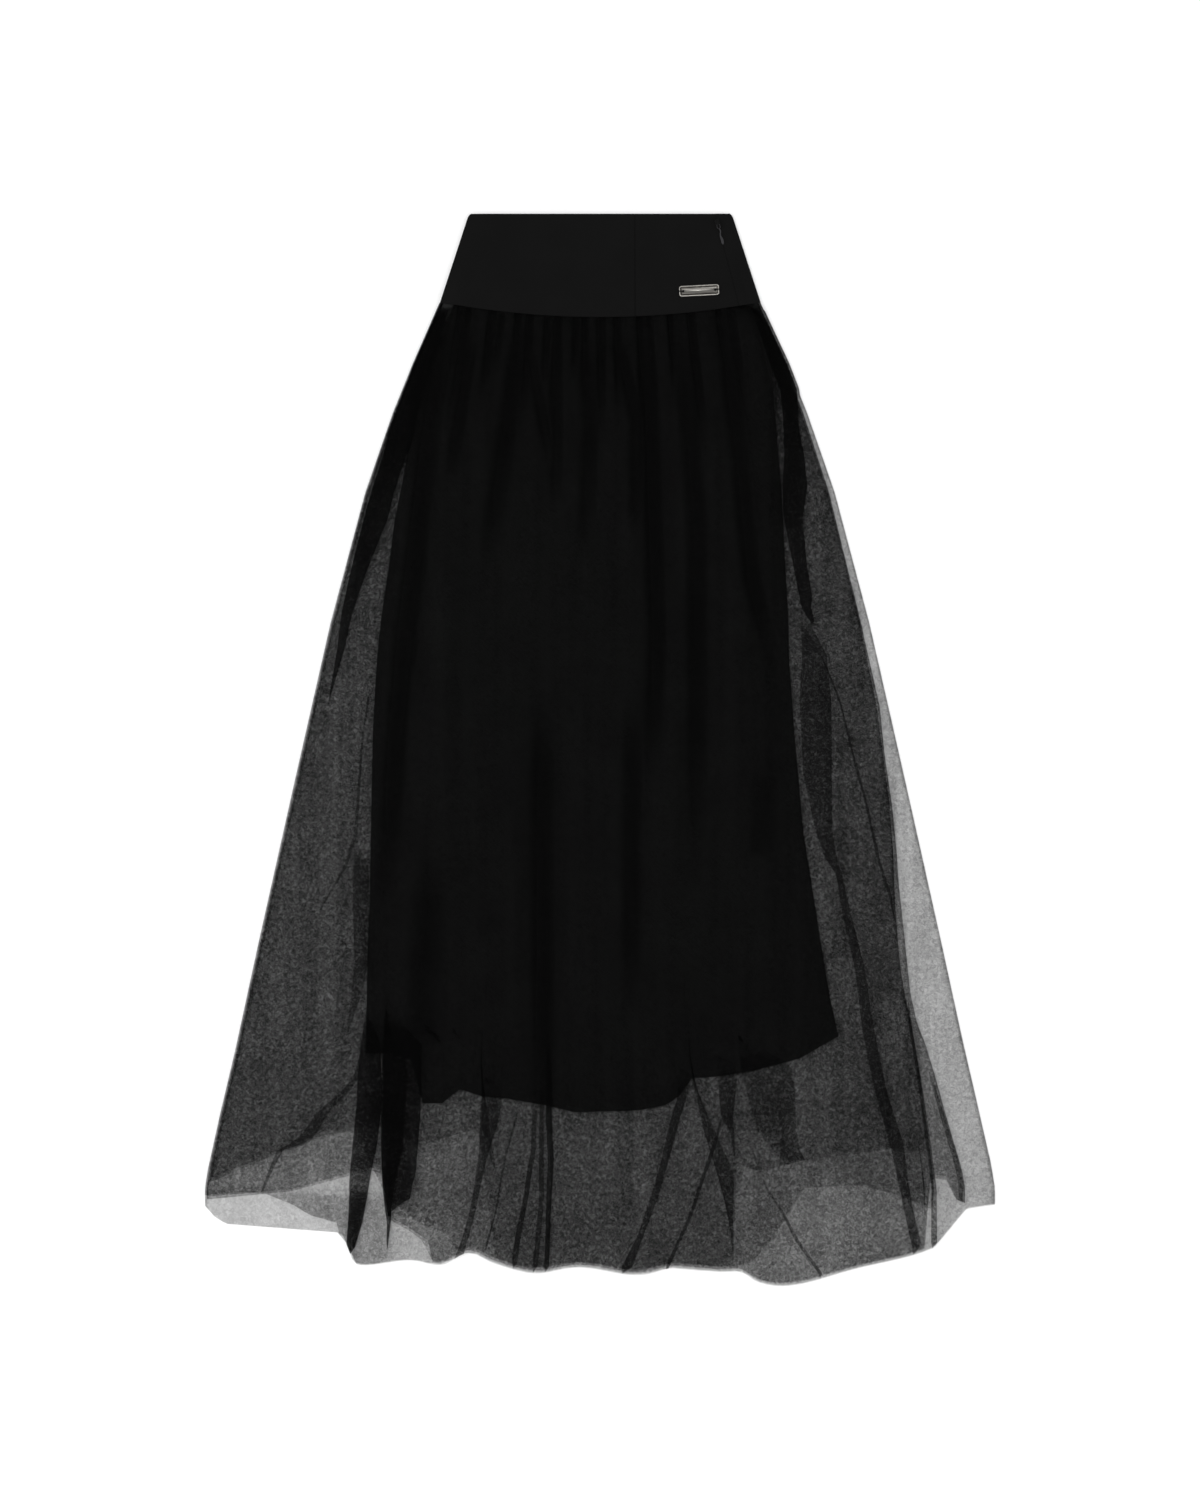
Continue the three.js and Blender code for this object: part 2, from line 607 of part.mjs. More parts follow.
// A panel of the yoke's front between two lines, each a function of drop
function yokeFrontPanel(leftLine, rightLine, shares) {
  const grid = YOKE_ROWS.map((down) =>
    shares.map((share) => {
      let across = THREE.MathUtils.lerp(leftLine(0), rightLine(0), share);
      let drop = 0;
      for (let pass = 0; pass < 5; pass += 1) {
        drop = down * seamDrop(across);
        across = THREE.MathUtils.lerp(leftLine(drop), rightLine(drop), share);
      }
      return place(across, drop, yokeHeight(across, drop));
    }),
  );
  return clothWall(grid, YOKE_CLOTH);
}

// The yoke's back lies on the floor, turns up round the right side and ends at the zip seam on the front
function yokeBackPanel() {
  const floor = YOKE_CLOTH / 2;
  const flatShares = [0, 0.05, 0.2, 0.4, 0.6, 0.8, 0.94];
  const turnAngles = [-90, -50, 0, 50, 90];
  const stripShares = [0.3, 0.65, 1];
  const grid = YOKE_ROWS.map((down) => {
    const drop = down * YOKE_SIDE_DROP;
    const half = yokeHalf(drop);
    const radius = (YOKE_EDGE_HEIGHT - floor) / 2;
    const line = flatShares.map((share) => {
      const across = THREE.MathUtils.lerp(-half, half - radius, share);
      return place(across, down * seamDrop(across), floor);
    });
    for (const angle of turnAngles) {
      const turn = THREE.MathUtils.degToRad(angle);
      line.push(place(half - radius + radius * Math.cos(turn), drop, floor + radius + radius * Math.sin(turn)));
    }
    for (const share of stripShares) {
      let across = zipSeam(drop);
      let stripDrop = drop;
      for (let pass = 0; pass < 5; pass += 1) {
        across = THREE.MathUtils.lerp(half - radius, zipSeam(stripDrop) + SEAM_GAP, share);
        stripDrop = down * seamDrop(across);
      }
      line.push(place(across, stripDrop, yokeHeight(across, stripDrop)));
    }
    return line;
  });
  return clothWall(grid, YOKE_CLOTH);
}

// Solids for cutting and joining

function solidOf(geometry) {
  const bare = geometry.clone();
  bare.deleteAttribute("normal");
  bare.deleteAttribute("uv");
  const merged = mergeVertices(bare, 1e-4);
  return new wasm.Manifold(
    new wasm.Mesh({
      numProp: 3,
      vertProperties: merged.attributes.position.array,
      triVerts: new Uint32Array(merged.index.array),
    }),
  );
}

function geometryOf(solid) {
  const mesh = solid.getMesh();
  const geometry = new THREE.BufferGeometry();
  geometry.setAttribute("position", new THREE.BufferAttribute(mesh.vertProperties, 3));
  geometry.setIndex(new THREE.BufferAttribute(mesh.triVerts, 1));
  geometry.computeVertexNormals();
  return geometry;
}

function roundedRectangle(length, width, corner) {
  const [x, y] = [length / 2, width / 2];
  const shape = new THREE.Shape();
  shape.moveTo(-x + corner, -y);
  shape.lineTo(x - corner, -y);
  shape.absarc(x - corner, -y + corner, corner, -Math.PI / 2, 0, false);
  shape.lineTo(x, y - corner);
  shape.absarc(x - corner, y - corner, corner, 0, Math.PI / 2, false);
  shape.lineTo(-x + corner, y);
  shape.absarc(-x + corner, y - corner, corner, Math.PI / 2, Math.PI, false);
  shape.lineTo(-x, -y + corner);
  shape.absarc(-x + corner, -y + corner, corner, Math.PI, 1.5 * Math.PI, false);
  return shape;
}

function extruded(shape, depth, curveSegments = 4) {
  return new THREE.ExtrudeGeometry(shape, { depth, bevelEnabled: false, curveSegments });
}

// A rounded metal plate with a raised rim and a sewing hole near each end
function plateGeometry() {
  const outline = roundedRectangle(PLATE.length, PLATE.width, PLATE.corner);
  for (const end of [-1, 1]) {
    const hole = new THREE.Path();
    hole.absarc((end * PLATE_HOLE_SPACING) / 2, 0, PLATE_HOLE_RADIUS, 0, 2 * Math.PI, true);
    outline.holes.push(hole);
  }
  const field = roundedRectangle(
    PLATE.length - 2 * PLATE_RIM,
    PLATE.width - 2 * PLATE_RIM,
    PLATE.corner - PLATE_RIM / 2,
  );
  const cut = extruded(field, 1).translate(0, 0, PLATE.thick - PLATE_FIELD_DEPTH);
  return geometryOf(solidOf(extruded(outline, PLATE.thick)).subtract(solidOf(cut)));
}

// The slider: a flat body with an arch over it that holds the pull tab's bar
function sliderGeometry() {
  const body = extruded(roundedRectangle(SLIDER.width, SLIDER.length, 1.2), SLIDER.thick);
  const [reach, thick] = [SLIDER_ARCH.back, SLIDER_ARCH.thick];
  const crown = SLIDER_ARCH.clear + thick;
  const arch = new THREE.Shape();
  arch.moveTo(-reach, -0.2);
  arch.lineTo(-reach, crown - 0.8);
  arch.lineTo(-reach + 0.8, crown);
  arch.lineTo(reach - 0.8, crown);
  arch.lineTo(reach, crown - 0.8);
  arch.lineTo(reach, -0.2);
  arch.lineTo(reach - thick, -0.2);
  arch.lineTo(reach - thick, SLIDER_ARCH.clear);
  arch.lineTo(-reach + thick, SLIDER_ARCH.clear);
  arch.lineTo(-reach + thick, -0.2);
  arch.closePath();
  const upright = extruded(arch, SLIDER_ARCH.width)
    .translate(0, 0, -SLIDER_ARCH.width / 2)
    .rotateX(Math.PI / 2)
    .rotateZ(Math.PI / 2)
    .translate(0, 0, SLIDER.thick);
  return geometryOf(solidOf(body).add(solidOf(upright)));
}

// The pull tab: a slim drop-shaped plate with a slot at its top, turned about the bar above the slot
function pullGeometry() {
  const half = PULL.width / 2;
  const bar = PULL.thick / 2;
  const drop = new THREE.Shape();
  drop.moveTo(-PULL.neck / 2, bar);
  drop.lineTo(-PULL.neck / 2, -PULL.eye - 1);
  drop.lineTo(-half, -PULL.length + half + 2);
  drop.absarc(0, -PULL.length + half, half, Math.PI, 2 * Math.PI, false);
  drop.lineTo(half, -PULL.length + half + 2);
  drop.lineTo(PULL.neck / 2, -PULL.eye - 1);
  drop.lineTo(PULL.neck / 2, bar);
  drop.closePath();
  const slot = new THREE.Path();
  slot.moveTo(-PULL.slot / 2, -bar);
  slot.lineTo(PULL.slot / 2, -bar);
  slot.lineTo(PULL.slot / 2, -PULL.eye);
  slot.lineTo(-PULL.slot / 2, -PULL.eye);
  slot.closePath();
  drop.holes.push(slot);
  return extruded(drop, PULL.thick, 6).translate(0, 0, -bar);
}

// Puts a group on the yoke's front at a place: turned in the plane, leaned with the cloth, and clear of it
function seatOnYoke(group, across, drop, turn, clearance) {
  const reach = 6;
  const rise = (ax, ad) => yokeHeight(across + ax, drop + ad);
  const right = new THREE.Vector3(2 * reach, 0, rise(reach, 0) - rise(-reach, 0));
  const down = new THREE.Vector3(0, -2 * reach, rise(0, reach) - rise(0, -reach));
  const normal = down.cross(right).normalize();
  const lean = new THREE.Quaternion().setFromUnitVectors(new THREE.Vector3(0, 0, 1), normal);
  const spin = new THREE.Quaternion().setFromAxisAngle(new THREE.Vector3(0, 0, 1), turn);
  group.quaternion.copy(lean.multiply(spin));
  group.position.copy(place(across, drop, rise(0, 0)).addScaledVector(normal, YOKE_CLOTH / 2 + clearance));
}

// Assembly

const skirt = new THREE.Group();

function addPiece(name, geometry, look, parent = skirt) {
  const piece = new THREE.Mesh(geometry, new THREE.MeshStandardMaterial(look));
  piece.name = name;
  parent.add(piece);
  return piece;
}

addPiece("net_outer_back", backPanel(OUTER, OUTER_BACK_HEM), NET_BLACK);
addPiece("net_middle_back", backPanel(MIDDLE), NET_BLACK);
addPiece("net_inner_back", backPanel(INNER), NET_BLACK);
addPiece("lining_back", backPanel(LINING), LINING_BLACK);
addPiece("lining_front", frontPanel(LINING), LINING_BLACK);
addPiece("net_inner_front", frontPanel(INNER), NET_BLACK);
addPiece("net_middle_front", frontPanel(MIDDLE), NET_BLACK);
addPiece("net_outer_front", outerFrontPanel(), NET_BLACK);

const LEFT_PANEL_SHARES = [0, 0.02, 0.05, 0.09, 0.22, 0.38, 0.55, 0.72, 0.87, 1];
const RIGHT_PANEL_SHARES = [0, 0.15, 0.32, 0.5, 0.68, 0.84, 1];
addPiece("yoke_back", yokeBackPanel(), CLOTH_BLACK);
addPiece(
  "yoke_front_left",
  yokeFrontPanel((drop) => -yokeHalf(drop), () => YOKE_FRONT_SEAM - SEAM_GAP / 2, LEFT_PANEL_SHARES),
  CLOTH_BLACK,
);
addPiece(
  "yoke_front_right",
  yokeFrontPanel(() => YOKE_FRONT_SEAM + SEAM_GAP / 2, (drop) => zipSeam(drop) - SEAM_GAP, RIGHT_PANEL_SHARES),
  CLOTH_BLACK,
);

const slider = new THREE.Group();
seatOnYoke(slider, zipSeam(SLIDER.drop), SLIDER.drop, Math.atan(ZIP_SEAM_SLOPE), 0.35);
addPiece("zip_slider", sliderGeometry(), ZIP_METAL, slider);
const pull = new THREE.Group();
pull.position.set(0, PULL_AXIS_BACK, SLIDER.thick + SLIDER_ARCH.clear / 2);
pull.rotation.x = THREE.MathUtils.degToRad(PULL_DROOP);
addPiece("zip_pull", pullGeometry(), ZIP_METAL, pull);
slider.add(pull);
skirt.add(slider);

const plate = new THREE.Group();
seatOnYoke(plate, PLATE.across, PLATE.drop, THREE.MathUtils.degToRad(PLATE.turn), 0.5);
addPiece("badge_plate", plateGeometry(), ANTIQUE_METAL, plate);
skirt.add(plate);

// The origin is on the floor under the middle of the skirt's bounding box
const centre = new THREE.Box3().setFromObject(skirt).getCenter(new THREE.Vector3());
skirt.position.set(-centre.x, -centre.y, 0);

export default skirt;
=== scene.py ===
"""A long black skirt of soft net, laid flat on its back on white card.

It has a fitted yoke of heavy crepe with a concealed side zip and a small metal plate, three gathered tubes
of net and an opaque lining. Places on it are given in millimetres as across, from its middle line, and drop,
down from the waist edge. Everything in the scene is in metres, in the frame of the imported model.
"""
import math

import bpy
import numpy as np
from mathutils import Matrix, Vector
from mathutils.bvhtree import BVHTree


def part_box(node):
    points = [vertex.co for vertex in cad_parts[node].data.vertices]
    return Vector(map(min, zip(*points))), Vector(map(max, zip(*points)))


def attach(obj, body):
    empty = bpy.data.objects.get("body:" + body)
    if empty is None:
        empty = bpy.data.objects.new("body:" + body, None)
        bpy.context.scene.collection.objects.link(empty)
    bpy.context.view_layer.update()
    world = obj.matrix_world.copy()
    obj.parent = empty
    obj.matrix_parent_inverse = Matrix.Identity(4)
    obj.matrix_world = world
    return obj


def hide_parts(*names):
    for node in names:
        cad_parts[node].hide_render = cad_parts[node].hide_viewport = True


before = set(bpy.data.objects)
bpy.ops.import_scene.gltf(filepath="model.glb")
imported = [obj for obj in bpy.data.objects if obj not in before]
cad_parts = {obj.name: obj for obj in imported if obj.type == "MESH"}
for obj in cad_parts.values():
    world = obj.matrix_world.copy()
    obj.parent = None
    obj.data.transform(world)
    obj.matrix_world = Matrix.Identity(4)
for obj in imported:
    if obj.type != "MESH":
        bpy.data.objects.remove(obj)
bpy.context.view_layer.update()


# White card, light and camera
# The skirt lies on a wide sheet of matt white card under an even studio sky, with a large softbox high above and
# smaller ones at both sides and below the hem. The camera looks straight down on it from high above.

MM = 0.001
PICTURE = {"width": 1200, "height": 1500}  # one millimetre of the skirt's plane for each unit
PICTURE_WAIST = 214  # drop of the waist edge below the picture's top
FRONT_SEAM = 35  # across, of the yoke's upright seam
SEAM_HALF_GAP = 0.15

MIDDLE_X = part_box("yoke_front_left")[1].x - (FRONT_SEAM - SEAM_HALF_GAP) * MM
WAIST_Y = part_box("yoke_front_left")[1].y


def spot(across, drop, height):
    """A point of the scene, from millimetres on the skirt."""
    return Vector((MIDDLE_X + across * MM, WAIST_Y - drop * MM, height * MM))


def node(tree, kind, links=None, **settings):
    """Adds a shader node, sets its options and plain inputs, and links inputs to (node, output) pairs."""
    made = tree.nodes.new(kind)
    for key, value in settings.items():
        if hasattr(made, key):
            setattr(made, key, value)
        else:
            made.inputs[key.replace("_", " ")].default_value = value
    for key, (source, output) in (links or {}).items():
        tree.links.new(source.outputs[output], made.inputs[key])
    return made


def linear(code, alpha=1.0):
    """The linear colour of an sRGB hex code."""
    parts = [int(code[i:i + 2], 16) / 255 for i in (1, 3, 5)]
    return tuple(c / 12.92 if c <= 0.04045 else ((c + 0.055) / 1.055) ** 2.4 for c in parts) + (alpha,)


def material(name, build):
    """A material whose nodes are made by a function of its tree that returns the surface shader."""
    made = bpy.data.materials.new(name)
    made.use_nodes = True
    made.node_tree.nodes.clear()
    surface = build(made.node_tree)
    node(made.node_tree, "ShaderNodeOutputMaterial", {"Surface": (surface, 0)})
    return made


def white_card(tree):
    # Matt coated card: almost white, with a faint tooth that only takes the gloss off it
    return node(tree, "ShaderNodeBsdfPrincipled", Base_Color=linear("#fafafa"), Roughness=0.9)


CARD_SPREAD = 6.0
card_mesh = bpy.data.meshes.new("white_card")
card_mesh.from_pydata(
    [(x * CARD_SPREAD, y * CARD_SPREAD, -0.0005) for x, y in ((-1, -1), (1, -1), (1, 1), (-1, 1))],
    [], [(0, 1, 2, 3)])
card = bpy.data.objects.new("white_card", card_mesh)
bpy.context.collection.objects.link(card)
card_mesh.materials.append(material("matt_white_card", white_card))

SKY_STRENGTH = 0.4
world = bpy.data.worlds.new("studio_sky")
bpy.context.scene.world = world
world.use_nodes = True
world.node_tree.nodes["Background"].inputs["Color"].default_value = (1, 1, 1, 1)
world.node_tree.nodes["Background"].inputs["Strength"].default_value = SKY_STRENGTH

SOFTBOXES = {
    "softbox_above": {"place": (-1.6, 1.4, 9.6), "size": 4.4, "power": 500},
    "softbox_left": {"place": (-3.0, 0.3, 2.6), "size": 2.2, "power": 34},
    "softbox_right": {"place": (3.0, 0.1, 2.6), "size": 2.2, "power": 26},
    "softbox_low": {"place": (0.4, -3.0, 3.4), "size": 1.6, "power": 22},
}
for name, box in SOFTBOXES.items():
    lamp_data = bpy.data.lights.new(name, "AREA")
    lamp_data.shape = "SQUARE"
    lamp_data.size = box["size"]
    lamp_data.energy = box["power"]
    lamp = bpy.data.objects.new(name, lamp_data)
    lamp.location = box["place"]
    lamp.rotation_euler = (-lamp.location).to_track_quat("-Z", "Y").to_euler()
    bpy.context.collection.objects.link(lamp)

CAMERA_HEIGHT = 8.0
camera_data = bpy.data.cameras.new("camera")
camera_data.sensor_width = 36
camera_data.lens = camera_data.sensor_width * CAMERA_HEIGHT / (PICTURE["height"] * MM)
camera = bpy.data.objects.new("camera", camera_data)
camera.location = spot(0, PICTURE["height"] / 2 - PICTURE_WAIST, CAMERA_HEIGHT / MM)
bpy.context.collection.objects.link(camera)
bpy.context.scene.camera = camera
bpy.context.scene.view_settings.view_transform = "Standard"
bpy.context.scene.cycles.transparent_max_bounces = 48


# Lining
# An opaque tube of soft black viscose twill, sewn into the yoke seam under the nets and about 180 mm shorter than
# they are. It falls in long shallow folds from the seam to an uneven hem.

YOKE_HALF = 160.0
YOKE_DROP = {"side": 89.0, "centre": 104.0}
TUCK = 6.0
FIELD_STEP = 3.0
FIELD = {"left": -420.0, "right": 420.0, "top": -10.0, "bottom": 1100.0}
DROPS = np.arange(60.0, 1091.0, 2.0)


def smooth(value):
    t = np.clip(value, 0, 1)
    return t * t * (3 - 2 * t)


def seam_drop(across):
    share = np.clip(np.abs(across) / YOKE_HALF, 0, 1)
    return YOKE_DROP["side"] + (YOKE_DROP["centre"] - YOKE_DROP["side"]) * (1 - share ** 2)


class Lay:
    """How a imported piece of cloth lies: its upper height anywhere, its side edges and its hem, in millimetres.

    counts says at which places its height is to be read."""

    def __init__(self, name, counts=None):
        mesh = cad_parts[name].data
        corners = np.array([v.co for v in mesh.vertices])
        self.across = (corners[:, 0] - MIDDLE_X) / MM
        self.drop = (WAIST_Y - corners[:, 1]) / MM
        self.edges = np.array([e.vertices for e in mesh.edges])
        tree = BVHTree.FromPolygons([v.co for v in mesh.vertices], [p.vertices for p in mesh.polygons])
        self.xs = np.arange(FIELD["left"], FIELD["right"], FIELD_STEP)
        self.ys = np.arange(FIELD["top"], FIELD["bottom"], FIELD_STEP)
        heights = np.full((len(self.ys), len(self.xs)), np.nan)
        for j, drop in enumerate(self.ys):
            for i, across in enumerate(self.xs):
                hit = tree.ray_cast(spot(across, drop, 100), Vector((0, 0, -1)))[0]
                if hit is not None and (counts is None or counts(across, drop)):
                    heights[j, i] = hit.z / MM
        self.field = self.filled(heights)

    @staticmethod
    def filled(heights):
        """Carries the heights out past the edges of the piece, then softens its facets."""
        known = ~np.isnan(heights)
        field = np.where(known, heights, 0.0)
        weight = known.astype(float)
        for _ in range(14):
            total = np.zeros_like(field)
            count = np.zeros_like(field)
            for dy, dx in ((0, 1), (0, -1), (1, 0), (-1, 0)):
                total += np.roll(field * weight, (dy, dx), (0, 1))
                count += np.roll(weight, (dy, dx), (0, 1))
            grown = (weight == 0) & (count > 0)
            field[grown] = total[grown] / count[grown]
            weight[grown] = 1.0
        for _ in range(2):
            field = (2 * field + np.roll(field, 1, 0) + np.roll(field, -1, 0)) / 4
            field = (2 * field + np.roll(field, 1, 1) + np.roll(field, -1, 1)) / 4
        return field

    def height(self, across, drop):
        u = np.clip((across - self.xs[0]) / FIELD_STEP, 0, len(self.xs) - 1.001)
        v = np.clip((drop - self.ys[0]) / FIELD_STEP, 0, len(self.ys) - 1.001)
        i, j = u.astype(int), v.astype(int)
        fu, fv = u - i, v - j
        f = self.field
        upper = f[j, i] * (1 - fu) + f[j, i + 1] * fu
        lower = f[j + 1, i] * (1 - fu) + f[j + 1, i + 1] * fu
        return upper * (1 - fv) + lower * fv

    def crossing(self, along, across, values):
        """The smallest and largest of one coordinate where the piece crosses each value of the other."""
        a, b = self.edges[:, 0], self.edges[:, 1]
        lowest, highest = [], []
        for value in values:
            start, end = along[a] - value, along[b] - value
            cut = (start * end <= 0) & (start != end)
            share = start[cut] / (start[cut] - end[cut])
            met = across[a[cut]] + share * (across[b[cut]] - across[a[cut]])
            lowest.append(met.min() if len(met) else np.nan)
            highest.append(met.max() if len(met) else np.nan)
        return np.array(lowest), np.array(highest)

    def sides(self, drops):
        return self.crossing(self.drop, self.across, drops)

    def hem(self):
        """The drop of its lower edge, as a function of across."""
        places = np.arange(-400.0, 401.0, 2.0)
        found = self.crossing(self.across, self.drop, places)[1]
        good = ~np.isnan(found)
        return lambda across: np.interp(across, places[good], found[good])


def noise(across, drop, seed, wide, long):
    """Smooth unevenness between about -1 and 1, with its own wavelengths across and down, in millimetres."""
    rng = np.random.RandomState(seed)
    total = np.zeros(np.broadcast(across, drop).shape)
    for _ in range(7):
        turn = rng.uniform(-0.5, 0.5)
        stretch = rng.uniform(0.7, 1.5)
        phase = rng.uniform(0, 2 * math.pi)
        total += np.sin(2 * math.pi * (across / wide * stretch + drop / long * turn * 2) + phase)
    return total / 3.2


def column(table, place, values):
    """One column of a table against its first column."""
    return np.interp(values, [row[0] for row in table], [row[place] for row in table])


def at_drop(array, drop):
    """Values that stand for DROPS, one row for each column of cloth, read at each point's own drop."""
    v = np.clip((drop - DROPS[0]) / (DROPS[1] - DROPS[0]), 0, len(DROPS) - 1.001)
    j = v.astype(int)
    k = np.broadcast_to(np.arange(array.shape[0]), drop.shape)
    return array[k, j] * (1 - (v - j)) + array[k, j + 1] * (v - j)


def both_ways(count, crowd=0.5):
    """Shares from the left edge to the right one, closer together near both edges."""
    t = np.linspace(0, 1, count)
    return t - crowd * np.sin(2 * math.pi * t) / (2 * math.pi)


def cloth_sheet(name, across, drop, height, values=None, closed_round=False):
    """A smooth sheet through a grid of places, rows first. values are extra numbers kept with its points."""
    grid = np.stack([MIDDLE_X + across * MM, WAIST_Y - drop * MM, height * MM], -1)
    rows, columns = grid.shape[:2]
    index = np.arange(rows * columns).reshape(rows, columns)
    left = index if closed_round else index[:, :-1]
    right = np.roll(index, -1, 1) if closed_round else index[:, 1:]
    faces = np.stack([left[:-1], left[1:], right[1:], right[:-1]], -1).reshape(-1, 4)
    mesh = bpy.data.meshes.new(name)
    mesh.from_pydata(grid.reshape(-1, 3).tolist(), [], faces.tolist())
    for key, value in (values or {}).items():
        kept = mesh.attributes.new(key, "FLOAT", "POINT")
        kept.data.foreach_set("value", np.broadcast_to(value, across.shape).astype(np.float32).ravel())
    mesh.shade_smooth()
    made = bpy.data.objects.new(name, mesh)
    bpy.context.collection.objects.link(made)
    return made


def tube(name, shares, sides, hems, heights, rows, extra=None):
    """A tube of cloth laid flat: its front from left to right, round the right edge, and back underneath.

    shares holds each column's place across at each of DROPS, for the front and the back. extra gives the points'
    values."""
    halves = []
    for half in ("front", "back"):
        wide = shares[half]
        paths = sides[0] * (1 - wide) + sides[1] * wide
        ends = []
        for edge in (seam_drop(paths) - TUCK, hems[half](paths)):
            beyond = DROPS - edge
            first = np.clip((beyond >= 0).argmax(1), 1, len(DROPS) - 1)
            k = np.arange(len(paths))
            before, after = beyond[k, first - 1], beyond[k, first]
            ends.append(DROPS[first] - (DROPS[1] - DROPS[0]) * np.clip(after / (after - before), 0, 1))
        drop = ends[0] + (ends[1] - ends[0]) * np.linspace(0, 1, rows)[:, None]
        left, right = (np.interp(drop, DROPS, side) for side in sides)
        share = at_drop(wide, drop)
        across = left * (1 - share) + right * share
        height = heights[half](across, drop)
        halves.append((across, drop, height) + ((extra(half, across, drop),) if extra else ()))
    parts = [np.concatenate(pair, 1) for pair in zip(*halves)]
    values = {"gathered": parts[3]} if extra else None
    return cloth_sheet(name, parts[0], parts[1], parts[2], values, closed_round=True)


# Least height of each layer above the card, in the order in which they lie on it
FLOORS = {"outer_back": 0.1, "middle_back": 0.25, "inner_back": 0.4, "lining_back": 0.55,
          "lining_front": 0.9, "inner_front": 1.1, "middle_front": 1.3, "outer_front": 1.5}

# How far each layer of the front stays below the top of the skirt
BELOW_TOP = {"lining": 2.0, "inner": 1.4, "middle": 0.7, "outer": 0.0}
skirt_top = Lay("net_outer_front")


def front_top(name, lay, across, drop):
    """Upper height of a layer of the front, kept under the skirt's top."""
    return np.minimum(lay.height(across, drop), skirt_top.height(across, drop) - BELOW_TOP[name])


# Valleys of the lining's folds: places along each one, its half width and its depth
VALLEYS = [
    {"path": ((-153, 106), (-170, 206), (-192, 406), (-205, 526), (-216, 686)), "half": 15, "depth": 4.5},
    {"path": ((-129, 126), (-149, 256)), "half": 9, "depth": 4},
    {"path": ((-80, 116), (-94, 220), (-109, 326)), "half": 12, "depth": 4.5},
    {"path": ((-71, 136), (-49, 246)), "half": 8, "depth": 3.5},
    {"path": ((-43, 116), (-43, 200), (-44, 280)), "half": 8, "depth": 3.5},
    {"path": ((-14, 136), (-9, 206), (-14, 320)), "half": 11, "depth": 4},
    {"path": ((17, 126), (37, 206), (37, 306)), "half": 10, "depth": 4},
    {"path": ((44, 120), (49, 186), (57, 421), (53, 546)), "half": 12, "depth": 5.5},
    {"path": ((83, 136), (97, 306), (97, 626)), "half": 13, "depth": 4.5},
    {"path": ((126, 126), (140, 251), (151, 366), (174, 451)), "half": 12, "depth": 4.5},
    {"path": ((-57, 506), (-58, 700), (-56, 880)), "half": 14, "depth": 5.5},
    {"path": ((33, 506), (32, 640), (32, 771)), "half": 12, "depth": 4},
    {"path": ((-170, 660), (-176, 760), (-178, 840)), "half": 20, "depth": 3},
    {"path": ((166, 560), (166, 640)), "half": 20, "depth": 2.5},
]
# Tucks of the gathering at the seam: across, length, half width and depth
TUCKS = [
    (-150, 60, 5, 3.0), (-139, 95, 4, 3.0), (-132, 150, 5, 3.5), (-107, 110, 5, 3.5), (-98, 70, 4, 2.5),
    (-81, 190, 5, 3.5), (-70, 120, 5, 3.5), (-52, 90, 4, 3.0), (-42, 150, 5, 3.5), (-24, 70, 4, 2.5),
    (-15, 120, 4, 3.0), (1, 140, 5, 3.5), (17, 110, 4, 3.5), (40, 170, 5, 3.5), (49, 150, 4, 3.0),
    (70, 90, 4, 3.0), (90, 160, 5, 3.5), (118, 100, 4, 3.0), (130, 130, 5, 3.0),
]
FAN = 0.0011  # share by which the tucks spread with each millimetre below the seam


def valleys(across, drop):
    """How deep the folds of the cloth below the seam are at each place."""
    deepest = np.zeros(np.broadcast(across, drop).shape)
    for valley in VALLEYS:
        drops = [d for _, d in valley["path"]]
        line = np.interp(drop, drops, [a for a, _ in valley["path"]])
        t = (drop - drops[0]) / (drops[-1] - drops[0])
        ends = smooth((t + 0.12) / 0.3) * (1 - smooth((t - 0.75) / 0.4))
        off = np.clip(np.abs(across - line) / valley["half"], 0, 1)
        deepest = np.maximum(deepest, valley["depth"] * ends * (0.5 + 0.5 * np.cos(math.pi * off)))
    return deepest


def tucks(across, drop, share=1.0):
    """How deep the small tucks of the gathering are at each place."""
    below = drop - seam_drop(across)
    home = across / (1 + FAN * np.maximum(below, 0))
    deepest = np.zeros(np.broadcast(across, drop).shape)
    for place, length, half, depth in TUCKS:
        end = 1 - smooth((below - 0.35 * length) / (0.65 * length))
        wide = half * (1 + 0.004 * np.maximum(below, 0))
        off = np.clip(np.abs(home - place) / wide, 0, 1)
        deepest = np.maximum(deepest, share * depth * end * (0.5 + 0.5 * np.cos(math.pi * off)))
    return deepest


def viscose_twill(tree):
    # Soft viscose twill, piece-dyed black: a dull, even black with a low satin sheen along the folds. The twill
    # lines are drawn at 2.4 mm, about four times their real spacing, so that they show.
    twill_mm = 2.4
    wave_mm = 310  # length of one wave at a scale of 1
    place = node(tree, "ShaderNodeTexCoord")
    lines = node(tree, "ShaderNodeTexWave", {"Vector": (place, "Object")}, wave_type="BANDS",
                 bands_direction="DIAGONAL", Scale=wave_mm / twill_mm, Distortion=0.8, Detail=1.0)
    cloud = node(tree, "ShaderNodeTexNoise", {"Vector": (place, "Object")}, Scale=14.0, Detail=2.0)
    tone = node(tree, "ShaderNodeMix", {"Factor": (cloud, "Fac")}, data_type="RGBA")
    tone.inputs[6].default_value = linear("#161616")
    tone.inputs[7].default_value = linear("#1e1f1e")
    bump = node(tree, "ShaderNodeBump", {"Height": (lines, "Fac")}, Strength=0.12, Distance=0.0004)
    return node(tree, "ShaderNodeBsdfPrincipled", {"Base Color": (tone, 2), "Normal": (bump, 0)},
                Roughness=0.45, Specular_IOR_Level=0.03)


